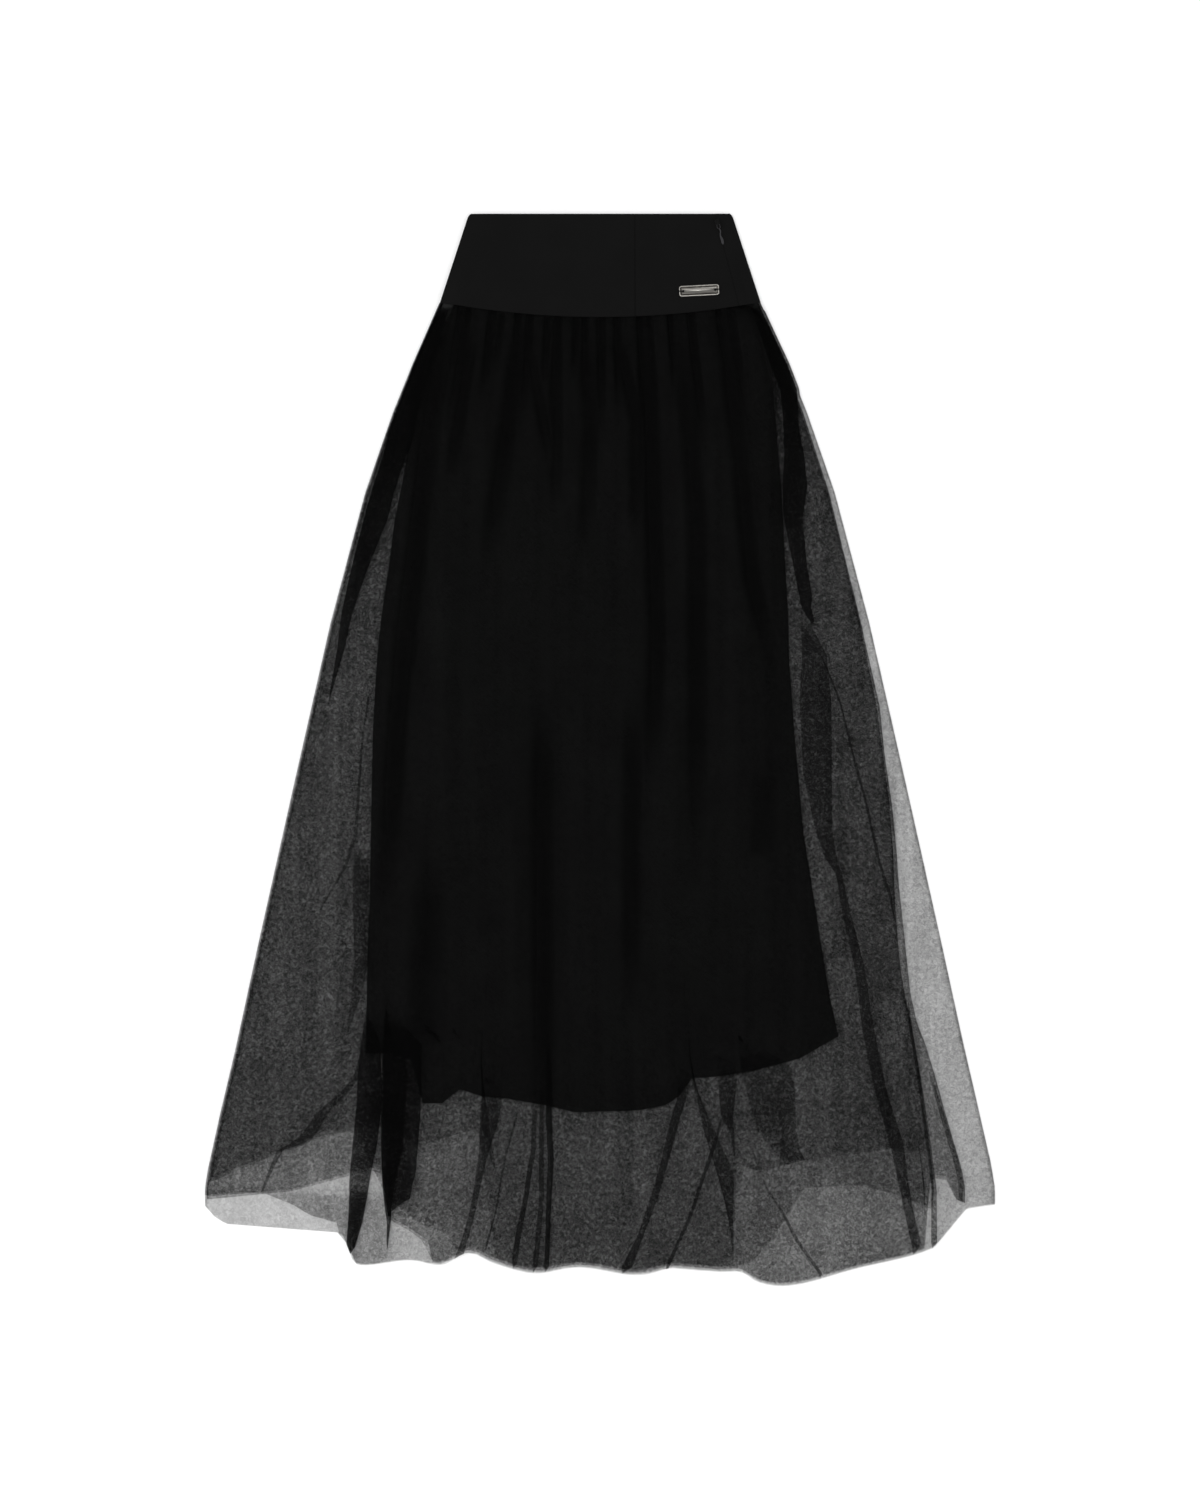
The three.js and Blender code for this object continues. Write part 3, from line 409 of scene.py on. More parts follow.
lining_lay = {side: Lay(f"lining_{side}") for side in ("front", "back")}
LINING_SIDES = [  # drop, left, right
    (80, -150, 150), (89, -157, 157), (106, -161, 163), (150, -175, 171), (226, -190, 177), (261, -196, 180),
    (305, -205, 183), (352, -211, 185), (398, -218, 188), (445, -223, 189), (517, -227, 194), (617, -229, 203),
    (686, -230, 214), (730, -232, 221), (780, -233, 229), (821, -234, 238), (900, -236, 243),
]
LINING_HEM = [  # across, front, back
    (-250, 839, 826), (-190, 840, 845), (-177, 889, 850), (-158, 889, 862), (-140, 875, 866), (-118, 882, 868),
    (-95, 884, 870), (-55, 891, 872), (-25, 898, 874), (40, 896, 872), (65, 891, 868), (80, 881, 866),
    (92, 864, 858), (120, 862, 850), (155, 856, 842), (200, 844, 832), (245, 818, 815),
]
lining_sides = [column(LINING_SIDES, place, DROPS) for place in (1, 2)]


# The lining below the top of its packed wall, the width of its flat edges, and how deep its folds are drawn
LINING = {"below": 0.6, "flat_edge": 22, "folds": 1.1}
# Unevenness of the loose cloth: height, seed, and wavelengths across and down
LINING_WAVES = {"front": [(0.35, 3, 46, 500), (0.2, 5, 21, 300)], "back": [(0.05, 4, 80, 300)]}
LINING_COLUMNS = {"front": 330, "back": 60}
LINING_ROWS = 180


def waves(across, drop, rows):
    """Several noises added up."""
    return sum(high * noise(across, drop, seed, wide, long) for high, seed, wide, long in rows)


def from_edges(across, drop, sides):
    """How far each place is inside the nearer of two side edges."""
    left, right = (np.interp(drop, DROPS, side) for side in sides)
    return np.minimum(across - left, right - across)


def lining_front_height(across, drop):
    inside = smooth(from_edges(across, drop, lining_sides) / LINING["flat_edge"])
    sunk = LINING["folds"] * np.maximum(valleys(across, drop), tucks(across, drop))
    loose = waves(across, drop, LINING_WAVES["front"])
    height = front_top("lining", lining_lay["front"], across, drop) - LINING["below"] + (loose - sunk) * inside
    return np.maximum(height, FLOORS["lining_front"])


def lining_back_height(across, drop):
    loose = waves(across, drop, LINING_WAVES["back"])
    return np.maximum(lining_lay["back"].height(across, drop) - LINING["below"] + loose, FLOORS["lining_back"])


def steady(shares):
    """The same shares at every drop."""
    return np.repeat(shares[:, None], len(DROPS), 1)


lining = tube(
    "lining",
    {"front": steady(both_ways(LINING_COLUMNS["front"])), "back": steady(both_ways(LINING_COLUMNS["back"])[::-1])},
    lining_sides,
    {"front": lambda across: column(LINING_HEM, 1, across), "back": lambda across: column(LINING_HEM, 2, across)},
    {"front": lining_front_height, "back": lining_back_height}, LINING_ROWS)
lining.data.materials.append(material("viscose_twill_black", viscose_twill))
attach(lining, "skirt")
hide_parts("lining_front", "lining_back")


# Nets
# Three tubes of soft black nylon tulle, gathered into the yoke seam one inside the other. Each lies pressed flat
# with stray pleats folded over on themselves. Their cut hems are raw and hang at slightly different lengths.


def soft_tulle(tree):
    # Soft nylon tulle, a fine hexagonal net of dull black thread: a grey veil where it is single and nearly black
    # in many layers. The holes are too fine to show, so the shimmer of nets over each other is drawn instead, as
    # a mottle of about 3 mm in its open share, which shrinks where the net is gathered closely and where painted
    # shade is laid over the lining's creases.
    shimmer_mm, drift_mm = 3.3, 38
    place = node(tree, "ShaderNodeTexCoord")
    flat = node(tree, "ShaderNodeMapping", {"Vector": (place, "Object")}, Scale=(1000, 1000, 0))
    shimmer = node(tree, "ShaderNodeTexNoise", {"Vector": (flat, 0)}, Scale=1 / shimmer_mm, Detail=1.5,
                   Roughness=0.6, Distortion=1.2)
    drift = node(tree, "ShaderNodeTexNoise", {"Vector": (flat, 0)}, Scale=1 / drift_mm, Detail=2.0)
    mottle = node(tree, "ShaderNodeMapRange", {"Value": (shimmer, "Fac")}, From_Min=0.3, From_Max=0.7,
                  To_Min=0.685, To_Max=0.82)
    uneven = node(tree, "ShaderNodeMapRange", {"Value": (drift, "Fac")}, From_Min=0.3, From_Max=0.7,
                  To_Min=-0.015, To_Max=0.015)
    open_share = node(tree, "ShaderNodeMath", {0: (mottle, 0), 1: (uneven, 0)}, operation="ADD")
    # How closely the net is gathered, with the painted shade of the lining's creases added over the front
    gathered = node(tree, "ShaderNodeAttribute", attribute_name="gathered")
    seen_through = node(tree, "ShaderNodeMath", {0: (open_share, 0), 1: (gathered, "Fac")}, operation="POWER")
    alpha = node(tree, "ShaderNodeMath", {1: (seen_through, 0)}, operation="SUBTRACT")
    alpha.inputs[0].default_value = 1.0
    return node(tree, "ShaderNodeBsdfPrincipled", {"Alpha": (alpha, 0)}, Base_Color=linear("#050505"),
                Roughness=0.6, Specular_IOR_Level=0.01)


tulle = material("soft_nylon_tulle_black", soft_tulle)

# How far the two hidden nets' side edges are inside the outer one's: drop, middle left, inner left, then right
NET_STEPS = [
    (80, 1, 2, 2, 4), (160, 1, 2, 3, 5), (346, 1, 2.5, 7, 8), (426, 1.5, 3, 8.5, 10), (491, 1.5, 3, 8.5, 11.5),
    (544, 1.5, 3, 15, 16.5), (591, 1.5, 3, 18.5, 21), (638, 1.5, 3, 24.5, 28), (666, 1.5, 3, 29, 34),
    (725, 1.5, 3, 36, 43), (778, 1.5, 3, 42, 50), (807, 1.5, 3, 42, 48), (831, 1.5, 3, 38, 49),
    (860, 1.5, 3, 36, 51), (901, 1.5, 3, 34, 55), (931, 1.5, 3, 32, 58), (960, 1.5, 3, 30, 60),
    (992, 1.5, 3, 30, 62), (1090, 1.5, 3, 30, 62),
]
# Hems of the nets where they end above the skirt's outline: across, front, back
LOW = 2000  # down to the outline
INNER_HEM = [
    (-400, 966, 970), (-389, 964, 968), (-322, 937, 939), (-301, 929, 933), (-280, 918, 922), (-245, 913, 916),
    (-215, 913, 980), (-181, 932, 1010), (-150, 922, 1020), (-122, 914, LOW), (-119, 930, LOW), (-117, LOW, LOW),
    (131, LOW, LOW), (135, 948, LOW), (140, 950, 1058), (160, 958, 1040), (189, 950, 1000), (203, 946, 974),
    (231, 943, 972),
    (259, 939, 971), (292, 934, 979), (321, 938, 990), (340, 941, 1000), (400, 950, 1005),
]
MIDDLE_HEM = [
    (-400, 982, 985), (-389, 982, 985), (-308, 975, 977), (-230, 953, 956), (-218, 956, 960), (-215, 1000, 1003),
    (-190, 1014, 1017), (-170, 1028, 1032), (-145, LOW, LOW), (318, LOW, LOW), (326, 1020, 1024), (330, 960, 964),
    (347, 962, 966), (355, 985, 985), (372, 992, 992), (400, 988, 990),
]
OUTER_HEM = [
    (-400, 981, LOW), (-393, 981, LOW), (-361, 978, LOW), (-336, 979, LOW), (-308, 990, LOW), (-290, 1001, LOW),
    (-262, 1009, LOW), (-257, LOW, LOW), (400, LOW, LOW),
]

# Pleats that lie folded over on themselves: their left and right edges at each drop, and how closely packed the
# cloth in them is
PLEATS = {
    "outer": [
        {"edges": ((92, -160, -150), (150, -186, -168), (190, -201, -180), (218, -211, -186), (228, -213, -188),
                   (261, -223, -200), (305, -236, -212), (352, -248, -231), (398, -258, -247), (430, -262, -254),
                   (461, -267, -263), (490, -272, -271)), "packed": 2.1},
        {"edges": ((466, -230, -230), (490, -233, -231), (522, -238, -236), (597, -244, -241), (620, -246, -242),
                   (653, -256, -253), (691, -278, -276), (705, -283, -283)), "packed": 1.0},
        {"edges": ((625, -246, -246), (650, -246, -231), (685, -247, -230), (747, -245, -231), (780, -248, -238),
                   (800, -251, -245), (822, -253, -253)), "packed": 1.0},
        {"edges": ((795, -234, -234), (826, -238, -220), (860, -242, -218), (890, -243, -218), (928, -247, -222),
                   (980, -250.5, -232), (1010, -252, -238), (1036, -254, -246), (1042, -254, -252)), "packed": 2.0},
        {"edges": ((800, -215, -205), (830, -216, -178), (896, -217, -179), (934, -218, -182), (957, -218, -184),
                   (985, -216, -190), (995, -215, -208), (1007, -213, -209), (1035, -213.5, -212.5)),
         "packed": 1.9},
        {"edges": ((868, -116, -100), (889, -119, -98), (913, -120, -103), (940, -121, -112), (975, -126, -120),
                   (1000, -131, -125), (1022, -137, -131), (1046, -146, -138)), "packed": 1.3},
        {"edges": ((890, -83, -83), (905, -85, -83), (940, -95, -93), (992, -104, -102), (1037, -116, -114)),
         "packed": 1.2},
        {"edges": ((880, -67, -63), (934, -69, -64), (980, -76, -71), (1028, -86, -80), (1051, -88, -83)),
         "packed": 1.4},
        {"edges": ((870, -60, -56), (948, -61, -56), (981, -60.5, -55.5), (1040, -66, -61), (1056, -68, -63)),
         "packed": 1.2},
        {"edges": ((826, -53, -50), (870, -54, -48), (904, -54, -48), (948, -52, -46), (998, -54, -49),
                   (1057, -56, -51)), "packed": 2.0},
        {"edges": ((860, 79, 94), (884, 77, 86), (910, 69, 78), (942, 62, 70), (972, 54, 61), (981, 51, 59),
                   (1022, 37, 43), (1054, 21, 32)), "packed": 1.5},
        {"edges": ((895, 122, 122), (907, 119.5, 122), (931, 112, 116), (969, 99, 102.5), (998, 90, 93.5),
                   (1031, 75, 79), (1054, 65, 69)), "packed": 1.4},
        {"edges": ((960, 161, 161), (972, 164, 166), (995, 179, 182), (1028, 196, 200), (1060, 219, 223)),
         "packed": 1.0},
        {"edges": ((92, 150, 160), (150, 170, 187), (176, 180, 197), (211, 183, 198), (242, 184, 204),
                   (273, 182, 207), (311, 183, 201), (351, 184, 198), (383, 186, 199), (410, 192, 196)),
         "packed": 2.0},
        {"edges": ((400, 200, 205), (440, 202, 226), (486, 199, 231), (560, 203, 231.5), (616, 215, 232),
                   (642, 224, 236), (661, 236, 242), (705, 243, 252), (752, 254, 264), (816, 262, 274),
                   (875, 274, 286), (928, 289, 303), (969, 298, 308), (992, 303, 312), (1034, 312, 322)),
         "packed": 1.2},
        {"edges": ((780, 307, 307), (806, 308, 311), (872, 318, 322), (954, 328.5, 333.5), (1030, 331, 337)),
         "packed": 1.3},
    ],
    "middle": [
        {"edges": ((812, -239, -239), (845, -241, -237), (863, -247, -241), (878, -259, -251), (890, -274, -264),
                   (901, -285, -273), (919, -297, -283), (929, -308, -293), (934, -322, -316), (972, -337, -334.5),
                   (1010, -348, -345.5)), "packed": 1.1},
        {"edges": ((820, -217, -200), (860, -218, -192), (934, -219, -197), (957, -218, -202), (1004, -214, -210),
                   (1030, -214, -213)), "packed": 1.6},
        {"edges": ((845, 117, 134), (866, 118, 137), (904, 121, 133), (916, 130, 134), (945, 134, 135.5)),
         "packed": 1.3},
        {"edges": ((380, 198, 198), (400, 202, 200), (455, 226, 228), (486, 238, 240), (555, 255.5, 258),
                   (611, 269.5, 272), (642, 276, 279), (680, 288, 291), (715, 296, 296)), "packed": 1.2},
        {"edges": ((850, 316, 316), (872, 320, 323), (901, 331, 335.5), (931, 343, 348), (960, 352, 357),
                   (992, 359, 363)), "packed": 1.0},
    ],
    "inner": [
        {"edges": ((828, 138, 150), (850, 140, 190), (866, 143, 194), (875, 146, 195), (916, 157, 196),
                   (937, 174, 200), (950, 186, 208), (957, 196, 212)), "packed": 0.9},
    ],
}
CREASE_SHADE = 0.8  # painted shade: share by which the net is drawn closer over the creases of the lining under it, to darken them
PLEAT_GAP = 0.5  # least width of plain net between two pleats
UNFOLDED = 2.0  # millimetres across which a pleat's cloth lies where it has come undone
OPENING = 30.0  # millimetres down from a pleat's upper end in which its three passes part from one loose one
FULLY_FOLDED = 2.0  # width from which a pleat lies folded right over
ONE_PASS = 1 / 3  # closeness of each of three passes that together look like one
PASS_LIFT = 0.3
# One pleat across, from its left edge to its right one: place across, passes of cloth beneath it, and whether the
# point is inside the pleat
FOLD_OVER = [
    (0, 0, 0), (0.02, 0, 1), (0.5, 0, 1), (0.96, 0, 1), (1, 0.5, 1), (0.96, 1, 1), (0.5, 1, 1), (0.04, 1, 1),
    (0, 1.5, 1), (0.04, 2, 1), (0.5, 2, 1), (0.98, 2, 1), (1, 2, 0),
]


def pleated(pleats, sides, spacing):
    """Each column's share across at each of DROPS, its lift in passes of cloth, and how closely it is packed."""
    left, right = sides
    span = right - left
    laid = []
    for pleat in pleats:
        drops = np.array([row[0] for row in pleat["edges"]], float)
        inside = (DROPS >= drops[0]) & (DROPS <= drops[-1])
        edge = [np.interp(DROPS, drops, (np.array([row[k] for row in pleat["edges"]]) - np.interp(
            drops, DROPS, left)) / np.interp(drops, DROPS, span)) for k in (1, 2)]
        width = np.where(inside, (edge[1] - edge[0]) * span, 0)
        opening = smooth((DROPS - drops[0]) / OPENING)
        laid.append((edge[0].mean(), edge[0], np.maximum(width, 0), pleat["packed"], opening))
    shares, lifts, packings = [], [], []

    def between(start, end):
        count = max(2, int(np.ceil(((end - start) * span).max() / spacing)))
        for t in np.linspace(0, 1, count, endpoint=False)[1:]:
            shares.append(start + (end - start) * t)
            lifts.append(np.zeros(len(DROPS)))
            packings.append(np.ones(len(DROPS)))

    floor = np.zeros(len(DROPS))
    shares.append(floor)
    lifts.append(floor)
    packings.append(np.ones(len(DROPS)))
    for _, start, width, packed, opening in sorted(laid, key=lambda item: item[0]):
        start = np.maximum(start, floor + PLEAT_GAP / span)
        between(floor, start)
        folded = smooth(width / FULLY_FOLDED)
        for k, (place, passes, within) in enumerate(FOLD_OVER):
            spread = k / (len(FOLD_OVER) - 1) * UNFOLDED * (1 - folded)
            shares.append(start + (place * width + spread) / span)
            lifts.append(passes * folded)
            packings.append(1 + within * (ONE_PASS + (packed - ONE_PASS) * opening - 1) * folded)
        floor = shares[-1]
    between(floor, np.ones(len(DROPS)))
    shares.append(np.ones(len(DROPS)))
    lifts.append(np.zeros(len(DROPS)))
    packings.append(np.ones(len(DROPS)))
    return tuple(np.array(rows) for rows in (shares, lifts, packings))


net_lay = {name: {side: Lay(f"net_{name}_{side}") for side in ("front", "back")}
           for name in ("inner", "middle", "outer")}
SEAM_INSET = 2.5
OWN_SIDES = {"from": 116, "to": 975}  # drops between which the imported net's own side edges are followed
NEAR_SEAM = {60: 148, 89: 160.5}  # half widths at two drops above that, where the net goes into the yoke
below_seam = smooth((DROPS - YOKE_DROP["side"] + 4) / 5)
outer_sides = list(net_lay["outer"]["front"].sides(np.clip(DROPS, OWN_SIDES["from"], OWN_SIDES["to"])))
for sign, place in ((-1, 0), (1, 1)):
    own = outer_sides[place]
    near_seam = np.interp(DROPS, [*NEAR_SEAM, OWN_SIDES["from"]],
                          [*(sign * half for half in NEAR_SEAM.values()), np.interp(OWN_SIDES["from"], DROPS, own)])
    outer_sides[place] = np.where(DROPS < OWN_SIDES["from"], near_seam, own) - sign * SEAM_INSET * (1 - below_seam)


# How much closer than flat the nets are: at the seam over the lining, what is added outside it, how far down that
# fades, and the width in which the lining's edge parts the two
GATHERED = {"over_lining": 0.1, "outside": 1.1, "fades": 80, "edge": 14}
FLANK = {"across": 200, "width": 60, "closer": 0.07}  # the right flank, where the nets lie a little closer
# Streaks of closer net: how much closer, seed, and wavelengths across and down
STREAKS = [(0.03, 21, 13, 300), (0.05, 22, 34, 500)]
LOOSE_STREAKS = [(0.06, 23, 9, 260)]  # only outside the lining
CRUMPLED = {"across": -190, "width": 40, "drop": 972, "depth": 14, "closer": 0.5}  # the lower left hem


def gather(across, drop):
    """How much more closely than flat the net is gathered: most at the seam and outside the lining, in streaks."""
    outside = 1 - smooth(from_edges(across, drop, lining_sides) / GATHERED["edge"])
    below = np.maximum(drop - seam_drop(across), 0)
    seam = (GATHERED["over_lining"] + GATHERED["outside"] * outside) * np.exp(-below / GATHERED["fades"])
    streaks = waves(across, drop, STREAKS)
    flank = FLANK["closer"] * smooth((across - FLANK["across"]) / FLANK["width"])
    loose = waves(across, drop, LOOSE_STREAKS) + flank
    crumpled = CRUMPLED["closer"] * smooth((CRUMPLED["across"] - across) / CRUMPLED["width"]) * smooth(
        (drop - CRUMPLED["drop"]) / CRUMPLED["depth"])
    return 1 + seam + streaks + loose * outside + crumpled


def ripple(across, drop, seed, high):
    """Small uneven waves of loose net, longer down than across."""
    return waves(across, drop, [(high, seed, 38, 420), (0.4 * high, seed + 1, 15, 160)])


# The nets below the tops of their packed walls, the width of their flat edges, how deep the tucks are drawn, how
# much closer the net looks where it turns round at the edge, and in what width
NET = {"below": 0.5, "flat_edge": 15, "tucks": 0.8, "turned": 0.8, "turn_width": 1.8}
RIPPLES = {"outer": 0.45, "middle": 0.2, "inner": 0.2, "back": 0.05}
FULL_CREASE_SHADE = {"valley": 5, "tuck": 3.2}  # depths at which the painted shade of a crease is at its darkest
COLUMN_SPACING = 4.5
NET_BACK_COLUMNS = 90
NET_ROWS = 150


def net_tube(name, hems, seed):
    sides = outer_sides
    if name != "outer":
        place = ("middle", "inner").index(name) + 1
        inset = [column(NET_STEPS, k, DROPS) for k in (place, place + 2)]
        sides = [outer_sides[0] + inset[0], outer_sides[1] - inset[1]]
    shares, lifts, packings = pleated(PLEATS[name], sides, COLUMN_SPACING)
    back_shares = steady(both_ways(NET_BACK_COLUMNS)[::-1])
    lay = net_lay[name]

    def front_height(across, drop):
        inside = smooth(from_edges(across, drop, sides) / NET["flat_edge"])
        tucked = NET["tucks"] * tucks(across, drop) * inside
        waves = ripple(across, drop, seed, RIPPLES[name]) * inside
        height = front_top(name, lay["front"], across, drop) - NET["below"] - tucked + waves
        return np.maximum(height, FLOORS[name + "_front"]) + PASS_LIFT * at_drop(lifts, drop)

    def back_height(across, drop):
        height = lay["back"].height(across, drop) - NET["below"] + ripple(across, drop, seed + 5, RIPPLES["back"])
        return np.maximum(height, FLOORS[name + "_back"])

    def closeness(side, across, drop):
        turned = 1 + NET["turned"] * (1 - smooth(from_edges(across, drop, sides) / NET["turn_width"]))
        if side == "back":
            return gather(across, drop) * turned
        # Over the lining's creases and tucks the net is drawn closer: painted shade that darkens them
        crease_shade = 1 + CREASE_SHADE * np.maximum(
            valleys(across, drop) / FULL_CREASE_SHADE["valley"], tucks(across, drop) / FULL_CREASE_SHADE["tuck"])
        return gather(across, drop) * at_drop(packings, drop) * turned * crease_shade

    made = tube(f"net_{name}", {"front": shares, "back": back_shares}, sides, hems,
                {"front": front_height, "back": back_height}, NET_ROWS, closeness)
    made.data.materials.append(tulle)
    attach(made, "skirt")
    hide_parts(f"net_{name}_front", f"net_{name}_back")
    return made


outer_hems = [net_lay["outer"][side].hem() for side in ("front", "back")]


BACK_HIGHER = 0.8  # by which a back hem that follows the outline ends above the front one


def net_hems(table, rise):
    """A net's two hems: where the table says, or a little above the outline."""
    def hem(place, above):
        return lambda across: np.minimum(
            column(table, place, across), np.maximum(outer_hems[0](across), outer_hems[1](across)) - above)
    return {"front": hem(1, rise), "back": hem(2, rise + BACK_HIGHER)}


net_tube("inner", net_hems(INNER_HEM, 5.0), 31)
net_tube("middle", net_hems(MIDDLE_HEM, 2.5), 41)
net_tube("outer", net_hems(OUTER_HEM, 0.0), 51)


# Yoke
# A fitted band of heavy matt crepe, 90 mm deep at the sides and 104 mm in the middle. An upright seam parts its
# front, and its back wraps round the right side to the zip. Its edges are turned in, with no stitching to be seen.

CLOTH_THICK = 1.3
YOKE_TOP = {"half": 131.0, "corner": 5.0, "round": 2.6}
ZIP_SEAM = {"top": 115.0, "slope": 0.26}
SEAM_GAP = 0.03
YOKE_ROWS = 90
YOKE_COLUMNS = {"left": 110, "right": 60, "under": 60, "turn": 9, "strip": 24}
UNEVEN = {"high": 0.12, "wide": 60, "long": 120}  # of the crepe's surface
FIRST_GUESS = 90.0  # depth of the yoke from which each point's own drop is worked out by steps
EDGE_IN = 0.1  # the panels' sheets stop short of the waist and the seam by this much
# How far and in what width the panels roll down at the waist, the lower seam, the upright seams and the waist of
# the back
ROLLS = {"waist": (0.5, 2.2), "foot": (0.5, 2.0), "upright": (0.05, 1.0), "wrap": (0.4, 2.2)}


def heavy_crepe(tree):
    # Heavy polyester crepe, piece-dyed black: a dry, even, almost lightless black with a fine pebbled grain. The
    # grain is drawn at 1.6 mm, some three times its real size, so that it shows.
    grain_mm = 1.6
    place = node(tree, "ShaderNodeTexCoord")
    grain = node(tree, "ShaderNodeTexNoise", {"Vector": (place, "Object")}, Scale=1000 / grain_mm, Detail=2.0)
    cloud = node(tree, "ShaderNodeTexNoise", {"Vector": (place, "Object")}, Scale=25.0, Detail=3.0)
    tone = node(tree, "ShaderNodeMix", {"Factor": (cloud, "Fac")}, data_type="RGBA")
    tone.inputs[6].default_value = linear("#0c0c0c")
    tone.inputs[7].default_value = linear("#101010")
    bump = node(tree, "ShaderNodeBump", {"Height": (grain, "Fac")}, Strength=0.25, Distance=0.0003)
    return node(tree, "ShaderNodeBsdfPrincipled", {"Base Color": (tone, 2), "Normal": (bump, 0)},
                Roughness=0.85, Specular_IOR_Level=0.05, Sheen_Weight=0.012, Sheen_Roughness=0.5)


crepe = material("heavy_crepe_black", heavy_crepe)


def zip_seam(drop):
    return ZIP_SEAM["top"] + ZIP_SEAM["slope"] * drop


yoke_lay = {name: Lay(name) for name in ("yoke_front_left", "yoke_front_right")}
yoke_lay["yoke_back"] = Lay("yoke_back", lambda across, drop: across > zip_seam(drop) + 1)


def yoke_half(drop):
    """Half the yoke's width, with its rounded upper corners."""
    turn = np.clip(1 - drop / YOKE_TOP["corner"], 0, 1)
    rounding = YOKE_TOP["round"] * (1 - np.sqrt(1 - turn ** 2))
    return YOKE_TOP["half"] + (YOKE_HALF - YOKE_TOP["half"]) * drop / YOKE_DROP["side"] - rounding


def turned_edge(near, deep, wide):
    """How far the cloth rolls down towards an edge that is turned in."""
    return deep * (1 - smooth(near / wide))


def yoke_panel(name, across, drop, height, offset):
    made = cloth_sheet(name + "_cloth", across, drop, height)
    solid = made.modifiers.new("thickness", "SOLIDIFY")
    solid.thickness = CLOTH_THICK * MM
    solid.offset = offset
    made.data.materials.append(crepe)
    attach(made, "skirt")
    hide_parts(name)
    return made


def yoke_front(name, left_line, right_line, columns, seed):
    t = np.linspace(0, 1, columns)[None, :]
    share = np.linspace(0, 1, YOKE_ROWS)[:, None]
    drop = np.broadcast_to(FIRST_GUESS * share, (YOKE_ROWS, columns))
    for _ in range(6):
        across = left_line(drop) * (1 - t) + right_line(drop) * t
        drop = EDGE_IN + (seam_drop(across) - 2 * EDGE_IN) * share
    height = yoke_lay[name].height(across, drop) + UNEVEN["high"] * noise(
        across, drop, seed, UNEVEN["wide"], UNEVEN["long"])
    height -= turned_edge(drop, *ROLLS["waist"]) + turned_edge(seam_drop(across) - drop, *ROLLS["foot"])
    height -= turned_edge(across - left_line(drop), *ROLLS["upright"]) + turned_edge(
        right_line(drop) - across, *ROLLS["upright"])
    return yoke_panel(name, across, drop, height, -1.0)


yoke_left = yoke_front("yoke_front_left", lambda d: -yoke_half(d), lambda d: FRONT_SEAM - SEAM_GAP + 0 * d,
                       YOKE_COLUMNS["left"], 71)
yoke_right = yoke_front("yoke_front_right", lambda d: FRONT_SEAM + SEAM_GAP + 0 * d,
                        lambda d: zip_seam(d) - SEAM_GAP, YOKE_COLUMNS["right"], 72)

WRAP = {"under": 0.8, "radius": 1.1}


def yoke_wrap():
    """The back of the yoke as one sheet: along the floor, round the right side and up to the zip."""
    share = np.linspace(0, 1, YOKE_ROWS)[:, None]
    side_drop = EDGE_IN + (YOKE_DROP["side"] - 2 * EDGE_IN) * share
    half = yoke_half(side_drop)
    columns = []
    for t in np.linspace(0, 1, YOKE_COLUMNS["under"]):
        across = -half * (1 - t) + (half - WRAP["radius"]) * t
        drop = EDGE_IN + (seam_drop(across) - 2 * EDGE_IN) * share
        columns.append((across, drop, np.full(across.shape, WRAP["under"])))
    for angle in np.radians(np.linspace(-80, 80, YOKE_COLUMNS["turn"])):
        across = half - WRAP["radius"] * (1 - math.cos(angle))
        height = WRAP["under"] + WRAP["radius"] * (1 + math.sin(angle))
        columns.append((across, side_drop, np.full(across.shape, height)))
    for t in np.linspace(0.06, 1, YOKE_COLUMNS["strip"]):
        drop = side_drop
        for _ in range(5):
            across = (half - WRAP["radius"]) * (1 - t) + (zip_seam(drop) + SEAM_GAP) * t
            drop = EDGE_IN + (seam_drop(across) - 2 * EDGE_IN) * share
        height = yoke_lay["yoke_back"].height(across, drop) - CLOTH_THICK / 2
        height -= turned_edge(across - zip_seam(drop), *ROLLS["upright"]) + turned_edge(drop, *ROLLS["wrap"])
        columns.append((across, drop, height))
    return tuple(np.concatenate([c[i] for c in columns], 1) for i in range(3))


yoke_back = yoke_panel("yoke_back", *yoke_wrap(), 0.0)


# Zip slider and pull tab
# A small die-cast slider, coloured a soft black as painted shadow of the seam over it, with a slim wavy tab in
# grey enamel. Only they show: the teeth close out of sight behind the seam.


def enamelled_zinc(tree):
    # Die-cast zinc under grey enamel: a dull mid grey, a little uneven where the enamel is thin
    place = node(tree, "ShaderNodeTexCoord")
    specks = node(tree, "ShaderNodeTexNoise", {"Vector": (place, "Object")}, Scale=900.0, Detail=2.0)
    tone = node(tree, "ShaderNodeMix", {"Factor": (specks, "Fac")}, data_type="RGBA")
    tone.inputs[6].default_value = linear("#1e1e1f")
    tone.inputs[7].default_value = linear("#3c3c3e")
    rough = node(tree, "ShaderNodeMapRange", {"Value": (specks, "Fac")}, To_Min=0.4, To_Max=0.6)
    return node(tree, "ShaderNodeBsdfPrincipled", {"Base Color": (tone, 2), "Roughness": (rough, 0)},
                Specular_IOR_Level=0.1)


def slider_painted_shadow(tree):
    # The slider's body coloured a soft black: painted shadow standing in for the shade of the seam over it
    place = node(tree, "ShaderNodeTexCoord")
    specks = node(tree, "ShaderNodeTexNoise", {"Vector": (place, "Object")}, Scale=900.0, Detail=2.0)
    rough = node(tree, "ShaderNodeMapRange", {"Value": (specks, "Fac")}, To_Min=0.45, To_Max=0.65)
    return node(tree, "ShaderNodeBsdfPrincipled", {"Roughness": (rough, 0)}, Base_Color=linear("#0b0b0b"),
                Specular_IOR_Level=0.05)


enamel = material("enamelled_zinc_grey", enamelled_zinc)
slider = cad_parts["zip_slider"]
# The slider is coloured black as painted shadow
slider.data.materials.clear()
slider.data.materials.append(material("slider_painted_shadow_black", slider_painted_shadow))


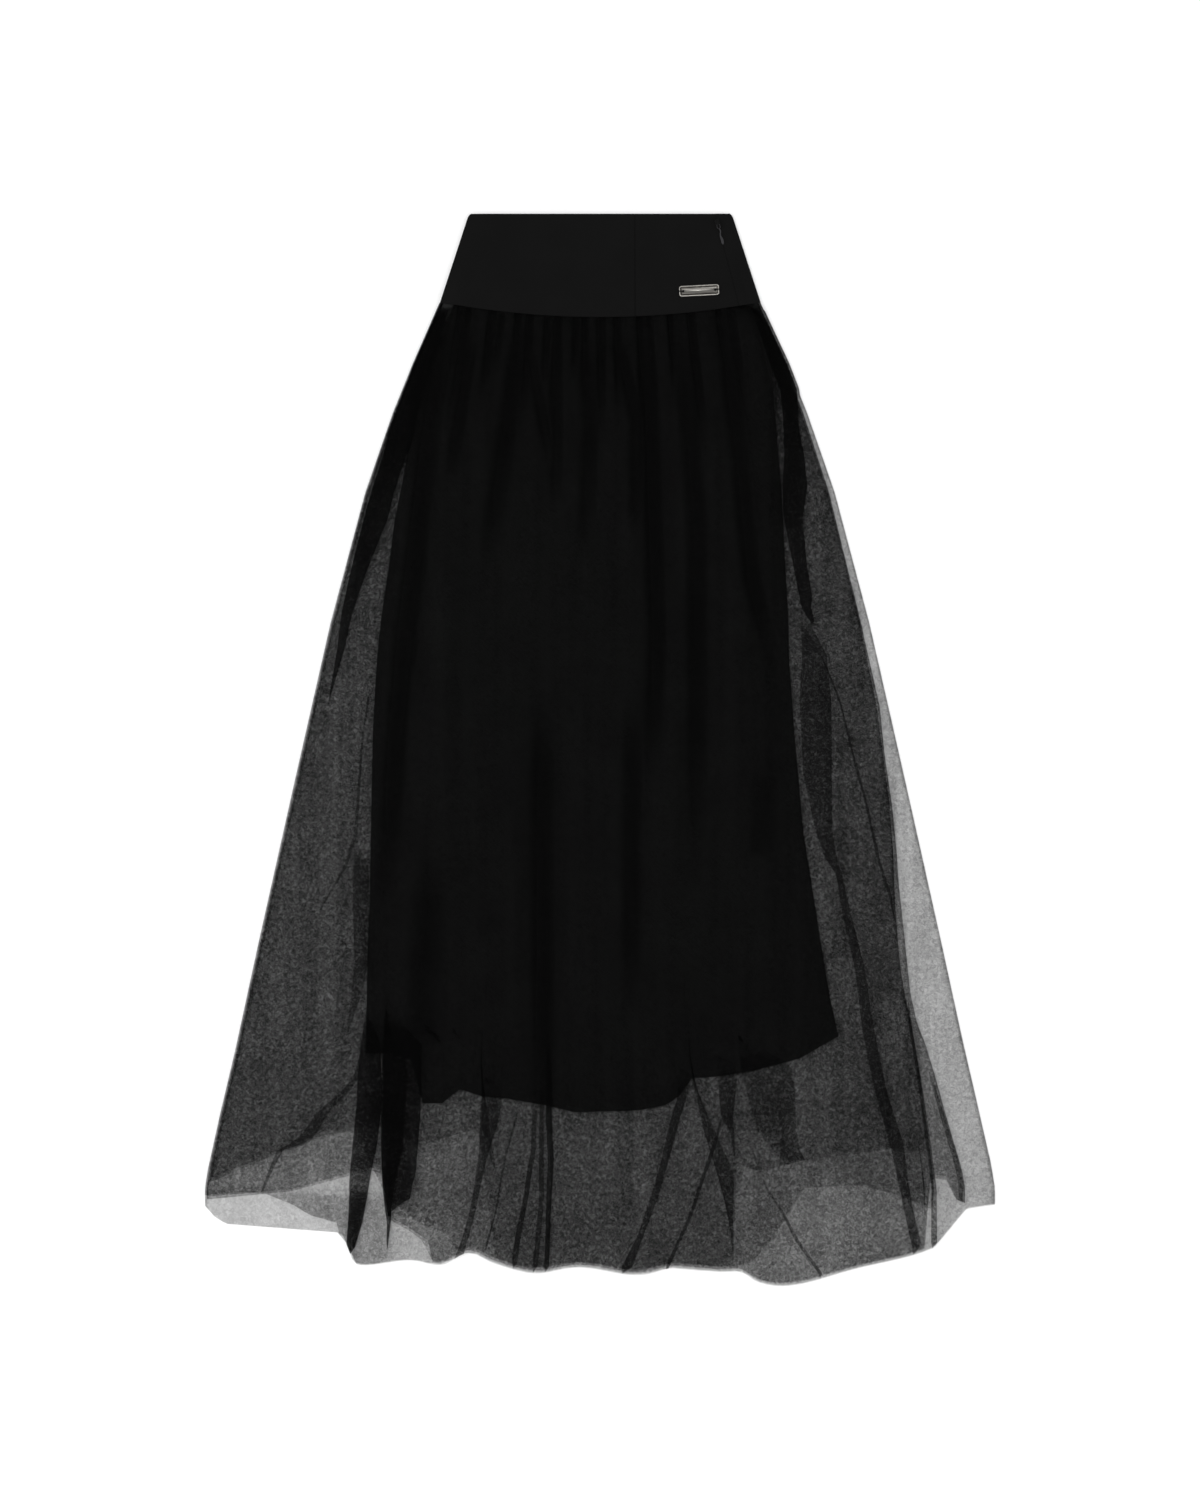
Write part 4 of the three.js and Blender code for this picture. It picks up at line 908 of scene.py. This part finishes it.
def main_axes(piece):
    """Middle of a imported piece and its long, middle and short directions, the last one upwards."""
    corners = np.array([v.co for v in piece.data.vertices])
    middle = (corners.min(0) + corners.max(0)) / 2
    axes = np.linalg.svd(corners - corners.mean(0), full_matrices=False)[2]
    normal = axes[2] * np.sign(axes[2][2])
    long = axes[0] * np.sign(axes[0][0] - axes[0][1])
    return middle, long, np.cross(normal, long), normal


def loft(name, rings, paint):
    """A closed solid through rings of points, capped at both ends."""
    count = len(rings[0])
    faces = []
    for r in range(len(rings) - 1):
        for k in range(count):
            n = (k + 1) % count
            faces.append((r * count + k, r * count + n, (r + 1) * count + n, (r + 1) * count + k))
    faces.append(tuple(range(count))[::-1])
    faces.append(tuple((len(rings) - 1) * count + k for k in range(count)))
    mesh = bpy.data.meshes.new(name)
    mesh.from_pydata([tuple(p) for ring in rings for p in ring], [], faces)
    mesh.shade_smooth()
    mesh.materials.append(paint)
    made = bpy.data.objects.new(name, mesh)
    bpy.context.collection.objects.link(made)
    return made


PULL_TAB = {"neck": 0.65, "drop": 1.35, "thick": 0.42, "wave": 0.8, "waves": 1.6, "square": -0.25}
# Shares of the tab's length: where it swells, in what length, and where its round end and its thin tip start
SHARES = {"swell": 0.35, "swelling": 0.35, "end": 0.86, "ending": 0.14, "tip": 0.93, "tapering": 0.07}
EYE = {"radius": 1.5, "wire": 0.3, "start": 1.95, "end": 3.55}  # an oval loop round the slider's arch
pull_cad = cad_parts["zip_pull"]
pull_middle, pull_long, pull_side, pull_up = main_axes(pull_cad)
pull_half = np.ptp((np.array([v.co for v in pull_cad.data.vertices]) - pull_middle) @ pull_long) / 2 / MM


def pull_point(along, side, up):
    """A point of the pull, in millimetres from its upper end, its middle line and its middle plane."""
    return pull_middle + ((along - pull_half) * pull_long + side * pull_side + up * pull_up) * MM


eye_rings = []
for turn in np.linspace(0, 2 * math.pi, 33):
    out = np.array([math.cos(turn), math.sin(turn)])
    centre = EYE["end"] if out[0] > 0 else EYE["start"]
    eye_rings.append([
        pull_point(centre + out[0] * (EYE["radius"] + EYE["wire"] * math.cos(a)),
                   out[1] * (EYE["radius"] + EYE["wire"] * math.cos(a)), EYE["wire"] * math.sin(a))
        for a in np.linspace(0, 2 * math.pi, 12, endpoint=False)])
pull_eye = loft("pull_eye", eye_rings, enamel)

TAB_START = 4.95


def rounded(s, start, length, least):
    """Share of the full size that is left at s where a quarter round begins at start."""
    return math.sqrt(max(1 - max((s - start) / length, 0) ** 2, least))


tab_rings = []
for s in np.linspace(0, 1, 40):
    along = TAB_START + (2 * pull_half - TAB_START) * s
    end = rounded(s, SHARES["end"], SHARES["ending"], 0.02)
    swell = smooth((s - SHARES["swell"]) / SHARES["swelling"]) * end
    wide = (PULL_TAB["neck"] + (PULL_TAB["drop"] - PULL_TAB["neck"]) * swell) * end
    thick = PULL_TAB["thick"] * rounded(s, SHARES["tip"], SHARES["tapering"], 0.1)
    off = PULL_TAB["wave"] * math.sin(2 * math.pi * PULL_TAB["waves"] * s) * (1 - s)
    ring = []
    for a in np.linspace(0, 2 * math.pi, 16, endpoint=False):
        square = abs(math.cos(a)) ** PULL_TAB["square"] if abs(math.cos(a)) > 1e-3 else 1
        ring.append(pull_point(along, off + wide * math.cos(a) * square, thick * math.sin(a)))
    tab_rings.append(ring)
pull_tab = loft("pull_tab", tab_rings, enamel)
for piece in (pull_eye, pull_tab):
    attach(piece, "pull")
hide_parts("zip_pull")


# Plate
# A small rounded plate of antiqued white metal with a raised rim, sewn on through a hole near each end with black
# thread. Its face is bare.

PLATE = {"half_long": 20.0, "half_wide": 5.5, "corner": 2.6, "hole_radius": 1.15, "hole_place": 16.0,
         "turn": 3.2}
# Profile of its edge, from the underside to the field: inset from the outline and height above the underside
PLATE_PROFILE = [(0.5, 0.0), (0.12, 0.1), (0.0, 0.35), (0.0, 0.95), (0.12, 1.25), (0.45, 1.42), (0.9, 1.42),
                 (1.25, 1.28), (1.5, 1.08), (1.9, 1.0), (2.6, 0.98)]


def antiqued_metal(tree):
    # Cast white metal, tumbled and antiqued: silvery grey where it is rubbed on the rim, darker in the field, with
    # cloudy stains and fine scratches drawn at about 0.6 mm so that they show
    place = node(tree, "ShaderNodeTexCoord")
    stretched = node(tree, "ShaderNodeMapping", {"Vector": (place, "Object")}, Scale=(300, 1600, 300))
    scratches = node(tree, "ShaderNodeTexNoise", {"Vector": (stretched, 0)}, Scale=1.0, Detail=3.0)
    stains = node(tree, "ShaderNodeTexNoise", {"Vector": (place, "Object")}, Scale=380.0, Detail=4.0)
    rubbed = node(tree, "ShaderNodeNewGeometry")
    mixed = node(tree, "ShaderNodeMath", {0: (scratches, "Fac"), 1: (stains, "Fac")}, operation="MULTIPLY")
    spread = node(tree, "ShaderNodeMapRange", {"Value": (mixed, 0)}, From_Min=0.14, From_Max=0.38)
    tone = node(tree, "ShaderNodeMix", {"Factor": (spread, 0)}, data_type="RGBA")
    tone.inputs[6].default_value = linear("#201f1d")
    tone.inputs[7].default_value = linear("#45423e")
    edge = node(tree, "ShaderNodeMapRange", {"Value": (rubbed, "Pointiness")}, From_Min=0.5, From_Max=0.56)
    worn = node(tree, "ShaderNodeMix", {"Factor": (edge, 0), 6: (tone, 2)}, data_type="RGBA")
    worn.inputs[7].default_value = linear("#b3b0aa")
    bump = node(tree, "ShaderNodeBump", {"Height": (mixed, 0)}, Strength=0.4, Distance=0.0003)
    return node(tree, "ShaderNodeBsdfPrincipled", {"Base Color": (worn, 2), "Normal": (bump, 0)},
                Metallic=1.0, Roughness=0.42)


plate_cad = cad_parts["badge_plate"]
plate_middle, plate_long, plate_side, plate_up = main_axes(plate_cad)
turn = math.radians(PLATE["turn"])
plate_long, plate_side = (plate_long * math.cos(turn) - plate_side * math.sin(turn),
                          plate_side * math.cos(turn) + plate_long * math.sin(turn))
plate_floor = ((np.array([v.co for v in plate_cad.data.vertices]) - plate_middle) @ plate_up).min() / MM


def plate_point(along, side, up):
    return plate_middle + (along * plate_long + side * plate_side + (plate_floor + up) * plate_up) * MM


def rounded_outline(inset):
    """Places round the plate at a distance inside its outline."""
    corner = max(PLATE["corner"] - inset, 0.6)
    long, wide = PLATE["half_long"] - inset - corner, PLATE["half_wide"] - inset - corner
    places = []
    for quarter, (sx, sy) in enumerate(((1, 1), (-1, 1), (-1, -1), (1, -1))):
        for a in np.radians(np.linspace(0, 90, 9)) + quarter * math.pi / 2:
            places.append((sx * long + corner * math.cos(a), sy * wide + corner * math.sin(a)))
    return places


plate_metal = material("antiqued_white_metal", antiqued_metal)
plate = loft("plate", [[plate_point(a, s, up) for a, s in rounded_outline(inset)] for inset, up in PLATE_PROFILE],
             plate_metal)
for sign in (-1, 1):
    circle = np.linspace(0, 2 * math.pi, 32, endpoint=False)
    hole = loft("hole", [[plate_point(sign * PLATE["hole_place"] + PLATE["hole_radius"] * math.cos(a),
                                      PLATE["hole_radius"] * math.sin(a), up) for a in circle]
                         for up in (-1.0, 3.0)], plate_metal)
    cut = plate.modifiers.new("hole", "BOOLEAN")
    cut.operation = "DIFFERENCE"
    cut.solver = "EXACT"
    cut.object = hole
    bpy.context.view_layer.update()
    done = bpy.data.meshes.new_from_object(plate.evaluated_get(bpy.context.evaluated_depsgraph_get()))
    plate.modifiers.clear()
    plate.data = done
    bpy.data.objects.remove(hole)
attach(plate, "skirt")
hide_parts("badge_plate")


def waxed_thread(tree):
    # Waxed black sewing thread: a soft black with a faint shine along its twist
    place = node(tree, "ShaderNodeTexCoord")
    twist = node(tree, "ShaderNodeTexWave", {"Vector": (place, "Object")}, Scale=900.0, Distortion=1.0)
    bump = node(tree, "ShaderNodeBump", {"Height": (twist, "Fac")}, Strength=0.5, Distance=0.0001)
    return node(tree, "ShaderNodeBsdfPrincipled", {"Normal": (bump, 0)}, Base_Color=linear("#101010"),
                Roughness=0.55, Specular_IOR_Level=0.2)


THREAD_RADIUS = 0.32
# A strand's way from under the hole, over the plate's end and down: place along the plate and height
STITCH = [(15.9, 0.5), (16.2, 1.25), (17.0, 1.62), (18.4, 1.78), (19.6, 1.72), (20.4, 1.1), (20.7, 0.2)]
SPREAD = 0.3  # share by which two strands part on their way
thread_paint = material("waxed_thread_black", waxed_thread)
for sign, name in ((-1, "left"), (1, "right")):
    for strand, aside in enumerate((-0.35, 0.4)):
        rings = []
        for k, (along, up) in enumerate(STITCH):
            before, after = STITCH[max(k - 1, 0)], STITCH[min(k + 1, len(STITCH) - 1)]
            way = np.array([after[0] - before[0], after[1] - before[1]])
            way /= np.linalg.norm(way)
            side = aside * (1 + SPREAD * k / len(STITCH))
            rings.append([
                plate_point(sign * (along - way[1] * THREAD_RADIUS * math.sin(a)),
                            side + THREAD_RADIUS * math.cos(a), up + way[0] * THREAD_RADIUS * math.sin(a))
                for a in np.linspace(0, 2 * math.pi, 10, endpoint=False)])
        stitch = loft(f"plate_stitch_{name}_{strand}", rings, thread_paint)
        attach(stitch, "skirt")
